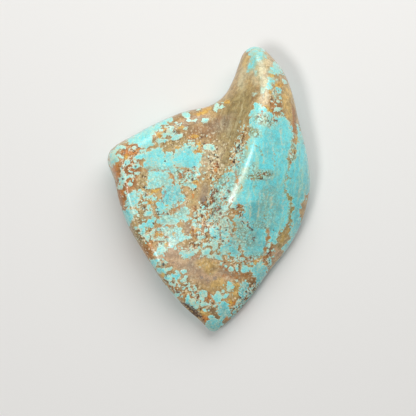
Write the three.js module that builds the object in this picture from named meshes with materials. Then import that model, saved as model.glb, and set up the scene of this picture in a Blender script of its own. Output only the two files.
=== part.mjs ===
// A piece of turquoise with its brown matrix, tumbled to a soft polish.
// It lies on its sawn back with its face up. From above it is a leaf shape: a peak at the top,
// a hollowed notch to the left of it, a blunt corner at the left and a point at the bottom.
// A crest runs down from the peak and fades below the middle. A broad plate lies to the left of the
// crest, with a valley between them, and a smooth panel falls away to the right.
// Millimetres, +Z up, +Y towards the peak. The origin is under the middle of the outline.

import * as THREE from 'three';

// Driving dimensions.
const CELL = 1.45;               // spacing of the net that the surface is drawn with
const NET_LOW = [-30.1, -41.2, -2.3];      // where the net's grid starts, just outside the stone
const NET_HIGH = [30, 41.5, 24];           // and where it ends
const RELAX_ROUNDS = 4;          // how often the net is evened out and set back on the surface
const WALL_RADIUS = 15;          // how strongly the side walls bulge
const BACK_ROUND = 2.2;          // rounding where the back facets meet the walls and each other
const VALLEY_BLEND = 7;          // softness of the valley between plate and crest
const CREST_BLEND = 4.4;         // softness of the crest itself
const ROLL = 1.6;                // how much of the face each unit of edge softness takes
const FACE_SHARE = 0.85;         // evens the field where the face is steep
const CHIP_BLEND = 0.4;          // rounding of the chip's brink
const STEPS_PER_SPAN = 8;        // outline points drawn between two given ones

// The outline from above, clockwise from the peak. Each row is x, y, how softly the face rolls
// over into the wall there, and the height at which the wall stands out furthest.
const OUTLINE = [
  [11.8, 38.1, 3.0, 9.5],        // peak
  [14.4, 37.4, 3.2, 9.5],
  [17.0, 35.0, 4.0, 9.5],
  [20.3, 30.5, 4.6, 9.0],
  [22.6, 24.3, 5.0, 8.5],
  [24.2, 17.4, 5.0, 7.5],
  [26.3, 9.4, 4.6, 6.5],
  [27.2, 2.8, 4.2, 6.0],         // right side
  [26.8, -3.5, 4.2, 5.6],
  [25.0, -9.9, 3.6, 5.0],
  [21.1, -15.9, 2.6, 4.6],
  [16.2, -21.6, 2.0, 4.2],
  [11.8, -28.0, 1.8, 3.8],
  [6.9, -33.9, 1.8, 3.4],
  [1.4, -38.2, 1.6, 3.2],        // point
  [-2.7, -34.8, 1.3, 3.4],
  [-7.7, -30.3, 1.2, 4.2],
  [-12.5, -24.5, 1.2, 5.2],
  [-17.1, -17.5, 1.2, 5.8],
  [-21.1, -10.8, 1.2, 6.2],
  [-23.8, -4.2, 1.2, 6.6],
  [-25.3, 2.2, 1.2, 6.8],
  [-27.2, 7.6, 1.6, 7.0],        // left corner
  [-25.8, 11.1, 1.8, 7.0],
  [-20.8, 14.2, 1.8, 7.0],
  [-14.4, 17.6, 1.8, 7.0],
  [-7.2, 20.7, 2.0, 7.0],
  [-0.4, 22.2, 2.2, 7.5],
  [3.9, 25.1, 2.6, 8.0],         // notch
  [6.5, 29.8, 3.0, 8.5],
  [7.9, 33.7, 3.0, 9.0],
  [9.3, 36.7, 3.0, 9.3],
];

// Down the stone, from the peak to the point: y, where the crest lies, its height,
// how steeply the left flank rises to it, and how steeply the right panel falls from it.
const CREST = [
  [40, 13.6, 13.05, 0.85, 0.52],
  [34, 15.2, 17.25, 0.90, 0.48],
  [28, 14.7, 19.65, 0.95, 0.44],
  [20, 13.2, 21.05, 0.98, 0.42],
  [12, 11.4, 20.95, 1.00, 0.42],
  [4, 9.0, 19.95, 0.98, 0.42],
  [-4, 5.3, 17.85, 0.88, 0.40],
  [-11, 2.0, 15.25, 0.66, 0.34],
  [-18, 0.2, 12.45, 0.40, 0.29],
  [-27, -0.3, 9.45, 0.28, 0.24],
  [-40, 0.8, 5.05, 0.25, 0.20],
];
const CREST_LEAN = 0.93;         // turns a distance along x into one across the slanting crest

// The plate: its height at the origin, its slopes, and how it droops towards the point.
const PLATE = { height: 12.3, acrossSlope: -0.10, alongSlope: 0.085, droop: 0.0021 };

// A second, faint crest inside the right panel: its upper and lower end, height and width.
const MINOR_CREST = { top: [10.6, -4.5], bottom: [9.4, -18], height: 0.75, width: 2.1 };

// Facets on the back. Each faces away from the middle and rises from the flat underside:
// its heading from +X, how far out it starts, and how steeply it rises, in degrees.
const BACK_FACETS = [
  { heading: 74, reach: 27.5, rise: 29 },    // under the peak
  { heading: 20, reach: 21.0, rise: 44 },
  { heading: 352, reach: 20.0, rise: 36 },   // under the right side
  { heading: 322, reach: 21.0, rise: 27 },
  { heading: 270, reach: 31.5, rise: 17 },   // under the point
  { heading: 214, reach: 19.3, rise: 37 },
  { heading: 189, reach: 21.0, rise: 43 },
  { heading: 163, reach: 20.5, rise: 33 },   // under the left corner
  { heading: 122, reach: 17.6, rise: 41 },   // under the upper left side
];

// The shallow chip along the upper edge near the point: its middle, half sizes and direction in degrees.
const CHIP = { at: [-4.5, -33.6, 7.4], half: [4.4, 1.8, 2.5], heading: -42 };

// Slow waves in the polish of the face: wavelength along x and y, and height.
const WAVES = [
  { x: 19, y: 27, phase: 0.6, height: 0.16 },
  { x: -13, y: 17, phase: 2.1, height: 0.10 },
];

const radians = THREE.MathUtils.degToRad;

// A smooth curve through rows of numbers, taken at a whole row plus a share of the next span.
function splineRow(rows, span, share, closed) {
  const row = (i) => {
    const last = rows.length - 1;
    return closed ? rows[(i + rows.length) % rows.length] : rows[Math.min(Math.max(i, 0), last)];
  };
  const [a, b, c, d] = [row(span - 1), row(span), row(span + 1), row(span + 2)];
  return b.map((_, k) => {
    const slope = (c[k] - a[k]) / 2;
    const nextSlope = (d[k] - b[k]) / 2;
    const rest = 1 - share;
    return b[k] * (1 + 2 * share) * rest * rest + c[k] * (3 - 2 * share) * share * share
      + slope * share * rest * rest - nextSlope * share * share * rest;
  });
}

// The outline as a fine closed polygon.
function drawOutline() {
  const points = [];
  for (let span = 0; span < OUTLINE.length; span += 1) {
    for (let step = 0; step < STEPS_PER_SPAN; step += 1) {
      points.push(splineRow(OUTLINE, span, step / STEPS_PER_SPAN, true));
    }
  }
  return points;
}

const outline = drawOutline();

// How far a plan point lies outside the outline, with the softness and rim height found there.
function fromOutline(x, y) {
  let nearest = Infinity;
  let inside = false;
  let softness = 0;
  let rim = 0;
  for (let i = 0; i < outline.length; i += 1) {
    const a = outline[i];
    const b = outline[(i + 1) % outline.length];
    const [dx, dy] = [b[0] - a[0], b[1] - a[1]];
    const along = ((x - a[0]) * dx + (y - a[1]) * dy) / (dx * dx + dy * dy);
    const share = Math.min(Math.max(along, 0), 1);
    const gap = Math.hypot(x - a[0] - share * dx, y - a[1] - share * dy);
    if (gap < nearest) {
      nearest = gap;
      softness = a[2] + share * (b[2] - a[2]);
      rim = a[3] + share * (b[3] - a[3]);
    }
    if ((a[1] > y) !== (b[1] > y) && x < a[0] + (dx * (y - a[1])) / dy) inside = !inside;
  }
  return { outside: inside ? -nearest : nearest, softness, rim };
}

// The crest's row of values at a height y down the stone.
function crestAt(y) {
  let span = 0;
  while (span < CREST.length - 2 && y < CREST[span + 1][0]) span += 1;
  const share = (CREST[span][0] - y) / (CREST[span][0] - CREST[span + 1][0]);
  const within = THREE.MathUtils.clamp(share, 0, 1);
  const [, x, height, flankSlope, panelSlope] = splineRow(CREST, span, within, false);
  return { x, height, flankSlope, panelSlope };
}

function smoothMax(a, b, blend) {
  const overlap = Math.max(blend - Math.abs(a - b), 0);
  return Math.max(a, b) + (overlap * overlap) / (4 * blend);
}

const smoothMin = (a, b, blend) => -smoothMax(-a, -b, blend);

function minorCrestRise(x, y) {
  const { top, bottom, height, width } = MINOR_CREST;
  const [dx, dy] = [bottom[0] - top[0], bottom[1] - top[1]];
  const along = ((x - top[0]) * dx + (y - top[1]) * dy) / (dx * dx + dy * dy);
  const share = THREE.MathUtils.clamp(along, 0, 1);
  const gap = Math.hypot(x - top[0] - share * dx, y - top[1] - share * dy);
  return height * Math.exp(-((gap / width) ** 2));
}

function waviness(x, y) {
  return WAVES.reduce((sum, wave) => {
    const turn = 2 * Math.PI * (x / wave.x + y / wave.y) + wave.phase;
    return sum + wave.height * Math.sin(turn);
  }, 0);
}

// Height of the face above the flat underside.
function faceHeight(x, y) {
  const crest = crestAt(y);
  const across = (x - crest.x) * CREST_LEAN;
  const plate = PLATE.height + PLATE.acrossSlope * x + PLATE.alongSlope * y
    - PLATE.droop * Math.min(y, 0) ** 2;
  const flank = crest.height + crest.flankSlope * across;
  const panel = crest.height - crest.panelSlope * across;
  const ridged = smoothMin(smoothMax(plate, flank, VALLEY_BLEND), panel, CREST_BLEND);
  return ridged + minorCrestRise(x, y) + waviness(x, y);
}

function outsideChip(x, y, z) {
  const turn = radians(CHIP.heading);
  const [dx, dy] = [x - CHIP.at[0], y - CHIP.at[1]];
  const along = (dx * Math.cos(turn) + dy * Math.sin(turn)) / CHIP.half[0];
  const across = (dy * Math.cos(turn) - dx * Math.sin(turn)) / CHIP.half[1];
  const up = (z - CHIP.at[2]) / CHIP.half[2];
  return (Math.hypot(along, across, up) - 1) * CHIP.half[1];
}

// The stone as a field: below zero inside, above zero outside, in about millimetres.
function field(x, y, z) {
  const { outside, softness, rim } = fromOutline(x, y);
  const wall = outside + (z - rim) ** 2 / (2 * WALL_RADIUS);
  let body = smoothMax(wall, (z - faceHeight(x, y)) * FACE_SHARE, softness * ROLL);
  for (const { heading, reach, rise } of BACK_FACETS) {
    const [turn, tilt] = [radians(heading), radians(rise)];
    const out = x * Math.cos(turn) + y * Math.sin(turn) - reach;
    body = smoothMax(body, out * Math.sin(tilt) - z * Math.cos(tilt), BACK_ROUND);
  }
  body = smoothMax(body, -outsideChip(x, y, z), CHIP_BLEND);
  return smoothMax(body, -z, BACK_ROUND / 2);
}

// Draws a closed net of four-sided faces along the field's zero surface.
function drawNet(low, counts) {
  const [nx, ny, nz] = counts;
  const at = (i, j, k) => (k * ny + j) * nx + i;
  const place = (i, j, k) => [low[0] + i * CELL, low[1] + j * CELL, low[2] + k * CELL];
  const values = new Float64Array(nx * ny * nz);
  for (let k = 0; k < nz; k += 1) {
    for (let j = 0; j < ny; j += 1) {
      for (let i = 0; i < nx; i += 1) values[at(i, j, k)] = field(...place(i, j, k));
    }
  }
  const corners = [];
  for (let c = 0; c < 8; c += 1) corners.push([c & 1, (c >> 1) & 1, (c >> 2) & 1]);
  const edges = [];
  for (let a = 0; a < 8; a += 1) {
    for (const bit of [1, 2, 4]) {
      if (!(a & bit)) edges.push([a, a | bit]);
    }
  }
  const vertices = [];
  const vertexOf = new Map();
  for (let k = 0; k < nz - 1; k += 1) {
    for (let j = 0; j < ny - 1; j += 1) {
      for (let i = 0; i < nx - 1; i += 1) {
        const sum = [0, 0, 0];
        let crossings = 0;
        for (const [a, b] of edges) {
          const [p, q] = [corners[a], corners[b]];
          const va = values[at(i + p[0], j + p[1], k + p[2])];
          const vb = values[at(i + q[0], j + q[1], k + q[2])];
          if ((va < 0) !== (vb < 0)) {
            const share = va / (va - vb);
            for (let axis = 0; axis < 3; axis += 1) sum[axis] += p[axis] + share * (q[axis] - p[axis]);
            crossings += 1;
          }
        }
        if (crossings) {
          vertexOf.set(at(i, j, k), vertices.length);
          const base = place(i, j, k);
          vertices.push(base.map((value, axis) => value + (CELL * sum[axis]) / crossings));
        }
      }
    }
  }
  const quads = [];
  for (let k = 1; k < nz - 1; k += 1) {
    for (let j = 1; j < ny - 1; j += 1) {
      for (let i = 1; i < nx - 1; i += 1) {
        const here = values[at(i, j, k)] < 0;
        const around = [
          [values[at(i + 1, j, k)] < 0, [[i, j - 1, k - 1], [i, j, k - 1], [i, j, k], [i, j - 1, k]]],
          [values[at(i, j + 1, k)] < 0, [[i - 1, j, k - 1], [i - 1, j, k], [i, j, k], [i, j, k - 1]]],
          [values[at(i, j, k + 1)] < 0, [[i - 1, j - 1, k], [i, j - 1, k], [i, j, k], [i - 1, j, k]]],
        ];
        for (const [there, cells] of around) {
          if (here !== there) {
            const quad = cells.map((cell) => vertexOf.get(at(...cell)));
            quads.push(here ? quad : quad.reverse());
          }
        }
      }
    }
  }
  return { vertices, quads };
}

// Moves a point along the field's slope until it lies on the zero surface.
function settle(point) {
  const step = 0.02;
  for (let round = 0; round < 3; round += 1) {
    const [x, y, z] = point;
    const slope = [
      (field(x + step, y, z) - field(x - step, y, z)) / (2 * step),
      (field(x, y + step, z) - field(x, y - step, z)) / (2 * step),
      (field(x, y, z + step) - field(x, y, z - step)) / (2 * step),
    ];
    const steepness = Math.max(slope[0] ** 2 + slope[1] ** 2 + slope[2] ** 2, 0.05);
    const value = field(x, y, z);
    for (let axis = 0; axis < 3; axis += 1) point[axis] -= (value * slope[axis]) / steepness;
  }
}

// Evens out the spacing of the net and sets each vertex back on the surface.
function relaxNet({ vertices, quads }) {
  const neighbours = vertices.map(() => new Set());
  for (const quad of quads) {
    quad.forEach((v, n) => {
      neighbours[v].add(quad[(n + 1) % 4]);
      neighbours[v].add(quad[(n + 3) % 4]);
    });
  }
  for (let round = 0; round < RELAX_ROUNDS; round += 1) {
    const middles = vertices.map((point, v) => {
      const sum = [0, 0, 0];
      for (const other of neighbours[v]) vertices[other].forEach((value, axis) => { sum[axis] += value; });
      return point.map((value, axis) => (value + sum[axis] / neighbours[v].size) / 2);
    });
    middles.forEach((middle, v) => {
      settle(middle);
      vertices[v] = middle;
    });
  }
}

// Splits each face along the diagonal that lies closer to the surface.
function trianglesOf({ vertices, quads }) {
  const offSurface = (a, b) => {
    const middle = vertices[a].map((value, axis) => (value + vertices[b][axis]) / 2);
    return Math.abs(field(...middle));
  };
  return quads.flatMap(([a, b, c, d]) => (
    offSurface(a, c) <= offSurface(b, d) ? [a, b, c, a, c, d] : [a, b, d, b, c, d]
  ));
}

function makeStone() {
  const net = drawNet(NET_LOW, NET_LOW.map((low, axis) => Math.ceil((NET_HIGH[axis] - low) / CELL) + 1));
  relaxNet(net);
  const flat = net.vertices.map(([x, y, z]) => [x, y, Math.abs(z) < 1e-3 ? 0 : z]);
  const geometry = new THREE.BufferGeometry();
  geometry.setAttribute('position', new THREE.Float32BufferAttribute(flat.flat(), 3));
  geometry.setIndex(trianglesOf(net));
  geometry.computeBoundingBox();
  const middle = geometry.boundingBox.getCenter(new THREE.Vector3());
  geometry.translate(-middle.x, -middle.y, 0);
  geometry.computeVertexNormals();
  return geometry;
}

const turquoise = new THREE.MeshStandardMaterial({ color: 0x7cc7c6, roughness: 0.32, metalness: 0 });
const stone = new THREE.Mesh(makeStone(), turquoise);
stone.name = 'turquoise_stone';

const part = new THREE.Group();
part.add(stone);

export default part;
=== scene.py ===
import functools
import math

import bmesh
import bpy
import numpy as np
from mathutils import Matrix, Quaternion, Vector, noise


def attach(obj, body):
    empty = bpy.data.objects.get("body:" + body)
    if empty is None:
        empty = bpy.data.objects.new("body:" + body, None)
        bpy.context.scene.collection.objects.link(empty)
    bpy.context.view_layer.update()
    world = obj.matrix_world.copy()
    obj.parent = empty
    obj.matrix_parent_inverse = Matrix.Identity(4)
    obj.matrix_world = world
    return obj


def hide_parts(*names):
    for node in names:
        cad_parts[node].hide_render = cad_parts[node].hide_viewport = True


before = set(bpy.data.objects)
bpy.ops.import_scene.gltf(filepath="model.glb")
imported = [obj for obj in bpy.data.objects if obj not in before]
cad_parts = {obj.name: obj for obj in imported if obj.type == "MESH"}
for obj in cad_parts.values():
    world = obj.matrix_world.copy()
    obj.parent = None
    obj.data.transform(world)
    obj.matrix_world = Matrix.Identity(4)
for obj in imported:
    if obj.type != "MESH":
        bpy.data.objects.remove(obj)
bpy.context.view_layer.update()        # one node, turquoise_stone, on the body root

# The looks of a polished freeform of turquoise in brown matrix, lying face up.
# The first part gives the stone its fine surface, the second lays out its markings,
# the third builds its material, and the last sets the floor, the lights and the camera.
# Sizes are millimetres in the stone's plan, +Y towards the peak, until they are put in the scene.

MM = 0.001
NODE = "turquoise_stone"

# The view: the camera looks down on the stone, leaning a little towards its point.
VIEW_DISTANCE = 300.0
VIEW_LEAN = math.radians(4.0)
VIEW_AIM = (-0.4, -4.93, 7.0)
VIEW_WIDTH = 110.93               # what the picture spans at the aim
SENSOR = 36.0

# The form, with the same dimensions as the solid. The outline's rows are x, y, how softly the
# face rolls over into the wall, and the height at which the wall stands out furthest.
PLAN_MIDDLE = (-0.137, 0.159)     # middle of the stone's box in the outline's coordinates
MIDDLE = np.array([*PLAN_MIDDLE, 0])
WALL_RADIUS = 15
BACK_ROUND = 2.2
VALLEY_BLEND = 7
CREST_BLEND = 4.4
ROLL = 1.6
FACE_SHARE = 0.85
CHIP_BLEND = 0.4
OUTLINE = [
    (11.8, 38.1, 3, 9.5), (14.4, 37.4, 3.2, 9.5), (17, 35, 4, 9.5), (20.3, 30.5, 4.6, 9),
    (22.6, 24.3, 5, 8.5), (24.2, 17.4, 5, 7.5), (26.3, 9.4, 4.6, 6.5), (27.2, 2.8, 4.2, 6),
    (26.8, -3.5, 4.2, 5.6), (25, -9.9, 3.6, 5), (21.1, -15.9, 2.6, 4.6), (16.2, -21.6, 2, 4.2),
    (11.8, -28, 1.8, 3.8), (6.9, -33.9, 1.8, 3.4), (1.4, -38.2, 1.6, 3.2), (-2.7, -34.8, 1.3, 3.4),
    (-7.7, -30.3, 1.2, 4.2), (-12.5, -24.5, 1.2, 5.2), (-17.1, -17.5, 1.2, 5.8), (-21.1, -10.8, 1.2, 6.2),
    (-23.8, -4.2, 1.2, 6.6), (-25.3, 2.2, 1.2, 6.8), (-27.2, 7.6, 1.6, 7), (-25.8, 11.1, 1.8, 7),
    (-20.8, 14.2, 1.8, 7), (-14.4, 17.6, 1.8, 7), (-7.2, 20.7, 2, 7), (-0.4, 22.2, 2.2, 7.5),
    (3.9, 25.1, 2.6, 8), (6.5, 29.8, 3, 8.5), (7.9, 33.7, 3, 9), (9.3, 36.7, 3, 9.3),
]
# The crest's rows are y, x, height, slope of the left flank, slope of the right panel.
CREST = [
    (40, 13.6, 13.05, 0.85, 0.52), (34, 15.2, 17.25, 0.90, 0.48), (28, 14.7, 19.65, 0.95, 0.44),
    (20, 13.2, 21.05, 0.98, 0.42), (12, 11.4, 20.95, 1.00, 0.42), (4, 9.0, 19.95, 0.98, 0.42),
    (-4, 5.3, 17.85, 0.88, 0.40), (-11, 2.0, 15.25, 0.66, 0.34), (-18, 0.2, 12.45, 0.40, 0.29),
    (-27, -0.3, 9.45, 0.28, 0.24), (-40, 0.8, 5.05, 0.25, 0.20),
]
CREST_LEAN = 0.93
PLATE = {"height": 12.3, "across": -0.10, "along": 0.085, "droop": 0.0021}
MINOR_CREST = {"top": (10.6, -4.5), "bottom": (9.4, -18.0), "height": 0.75, "width": 2.1}
# Facets of the back: heading from +X, reach from the middle, and rise in degrees.
BACK_FACETS = [(74, 27.5, 29), (20, 21.0, 44), (352, 20.0, 36), (322, 21.0, 27), (270, 31.5, 17),
               (214, 19.3, 37), (189, 21.0, 43), (163, 20.5, 33), (122, 17.6, 41)]
CHIP = {"at": (-4.5, -33.6, 7.4), "half": (4.4, 1.8, 2.5), "heading": math.radians(-42)}
# Slow waves of the face: wavelength along x and y, phase, height.
WAVES = [(19, 27, 0.6, 0.16), (-13, 17, 2.1, 0.10)]
FINENESS = 3                      # cuts in each edge of the solid's net
OUTLINE_STEPS, CREST_STEPS = 8, 16         # steps from row to row of each
BATCH = 4096                      # points measured against a line at a time
PROBE = 0.02                      # how far to each side the field is read for its slope


def spline(rows, steps, closed=True):
    """Rows of numbers on a smooth curve through the given rows."""
    rows = np.array(rows, float)
    if closed:
        before, start, end, after = (np.roll(rows, turn, 0) for turn in (1, 0, -1, -2))
    else:
        start, end = rows[:-1], rows[1:]
        before, after = np.vstack([rows[:1], rows[:-2]]), np.vstack([rows[2:], rows[-1:]])
    share = (np.arange(steps) / steps)[None, :, None]
    rest = 1 - share
    before, start, end, after = (part[:, None, :] for part in (before, start, end, after))
    curve = start * (1 + 2 * share) * rest ** 2 + end * (3 - 2 * share) * share ** 2
    curve = curve + (end - before) / 2 * share * rest ** 2 - (after - start) / 2 * share ** 2 * rest
    curve = curve.reshape(-1, rows.shape[1])
    return curve if closed else np.vstack([curve, rows[-1:]])


def outside_of(points, line, closed=True):
    """How far plan points lie from a line, below zero inside a closed one, the unit way out, and
    the line's other columns at the nearest place."""
    start = line if closed else line[:-1]
    end = np.roll(line, -1, 0) if closed else line[1:]
    way = (end - start)[:, :2]
    length = np.maximum((way ** 2).sum(1), 1e-12)
    gaps, ways, others = [], [], []
    for first in range(0, len(points), BATCH):
        p = points[first:first + BATCH]
        rel = p[:, None, :] - start[None, :, :2]
        share = np.clip((rel * way).sum(2) / length, 0, 1)
        off = rel - share[..., None] * way
        gap = (off ** 2).sum(2)
        best = gap.argmin(1)
        row = np.arange(len(p))
        gap = np.sqrt(gap[row, best])
        side = np.ones(len(p))
        if closed:
            y = p[:, 1:2]
            crosses = (start[:, 1] > y) != (end[:, 1] > y)
            rise = np.where(way[:, 1] == 0, 1e-12, way[:, 1])
            at = start[:, 0] + way[:, 0] * (y - start[:, 1]) / rise
            side = np.where((crosses & (p[:, :1] < at)).sum(1) % 2 == 1, -1.0, 1.0)
        along = share[row, best][:, None]
        gaps.append(gap * side)
        ways.append(off[row, best] * (side / np.maximum(gap, 1e-9))[:, None])
        others.append(start[best, 2:] * (1 - along) + end[best, 2:] * along)
    return np.concatenate(gaps), np.concatenate(ways), np.concatenate(others)


def smooth_max(a, b, blend):
    overlap = np.maximum(blend - np.abs(a - b), 0)
    return np.maximum(a, b) + overlap ** 2 / (4 * blend)


def smooth_step(value, low, high):
    share = np.clip((value - low) / (high - low), 0, 1)
    return share * share * (3 - 2 * share)


OUTLINE_CURVE = spline(OUTLINE, OUTLINE_STEPS)
# Along the crest, y goes in even steps from row to row, and rises as np.interp needs it to.
CREST_CURVE = spline(CREST, CREST_STEPS, closed=False)
rows = np.arange(len(CREST_CURVE)) / CREST_STEPS
CREST_CURVE[:, 0] = np.interp(rows, np.arange(len(CREST)), [row[0] for row in CREST])
CREST_CURVE = CREST_CURVE[::-1]


def face_height(x, y):
    """Height of the face above the flat underside."""
    crest_x, crest_z, flank_slope, panel_slope = (
        np.interp(y, CREST_CURVE[:, 0], column) for column in CREST_CURVE.T[1:])
    across = (x - crest_x) * CREST_LEAN
    plate = PLATE["height"] + PLATE["across"] * x + PLATE["along"] * y
    plate = plate - PLATE["droop"] * np.minimum(y, 0) ** 2
    raised = smooth_max(plate, crest_z + flank_slope * across, VALLEY_BLEND)
    height = -smooth_max(-raised, -(crest_z - panel_slope * across), CREST_BLEND)
    top, bottom = np.array(MINOR_CREST["top"]), np.array(MINOR_CREST["bottom"])
    way = bottom - top
    share = np.clip(((x - top[0]) * way[0] + (y - top[1]) * way[1]) / (way @ way), 0, 1)
    gap = np.hypot(x - top[0] - share * way[0], y - top[1] - share * way[1])
    height = height + MINOR_CREST["height"] * np.exp(-(gap / MINOR_CREST["width"]) ** 2)
    for wave_x, wave_y, phase, tall in WAVES:
        height = height + tall * np.sin(2 * math.pi * (x / wave_x + y / wave_y) + phase)
    return height


def outside_chip(x, y, z):
    turn, half = CHIP["heading"], CHIP["half"]
    dx, dy = x - CHIP["at"][0], y - CHIP["at"][1]
    along = (dx * math.cos(turn) + dy * math.sin(turn)) / half[0]
    across = (dy * math.cos(turn) - dx * math.sin(turn)) / half[1]
    up = (z - CHIP["at"][2]) / half[2]
    return (np.sqrt(along ** 2 + across ** 2 + up ** 2) - 1) * half[1]


def field(points, edge, shift):
    """The stone as a field, below zero inside, at points moved by a small shift."""
    gap, way, rest = edge
    x, y, z = (points + shift).T
    softness, rim = rest.T
    wall = gap + way @ shift[:2] + (z - rim) ** 2 / (2 * WALL_RADIUS)
    body = smooth_max(wall, (z - face_height(x, y)) * FACE_SHARE, softness * ROLL)
    for heading, reach, rise in BACK_FACETS:
        turn, tilt = math.radians(heading), math.radians(rise)
        out = x * math.cos(turn) + y * math.sin(turn) - reach
        body = smooth_max(body, out * math.sin(tilt) - z * math.cos(tilt), BACK_ROUND)
    body = smooth_max(body, -outside_chip(x, y, z), CHIP_BLEND)
    return smooth_max(body, -z, BACK_ROUND / 2)


def settle(points, rounds=3):
    """Points moved onto the stone's surface, and the surface's unit normals there."""
    for _ in range(rounds):
        edge = outside_of(points[:, :2], OUTLINE_CURVE)
        slopes = [field(points, edge, way) - field(points, edge, -way) for way in PROBE * np.eye(3)]
        slope = np.stack(slopes, 1) / (2 * PROBE)
        steep = np.maximum((slope ** 2).sum(1), 0.05)
        points = points - (field(points, edge, np.zeros(3)) / steep)[:, None] * slope
    return points, slope / np.linalg.norm(slope, axis=1)[:, None]


def fine_net():
    """A finer copy of the solid's net, as a mesh whose points are still to be settled."""
    net = bmesh.new()
    net.from_mesh(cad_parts[NODE].data)
    bmesh.ops.remove_doubles(net, verts=net.verts, dist=1e-6)
    bmesh.ops.subdivide_edges(net, edges=net.edges, cuts=FINENESS, use_grid_fill=True)
    mesh = bpy.data.meshes.new("turquoise_surface")
    net.to_mesh(mesh)
    net.free()
    mesh.materials.clear()
    return mesh


def plan_points(mesh):
    places = np.empty(len(mesh.vertices) * 3)
    mesh.vertices.foreach_get("co", places)
    return places.reshape(-1, 3) / MM + MIDDLE
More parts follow.
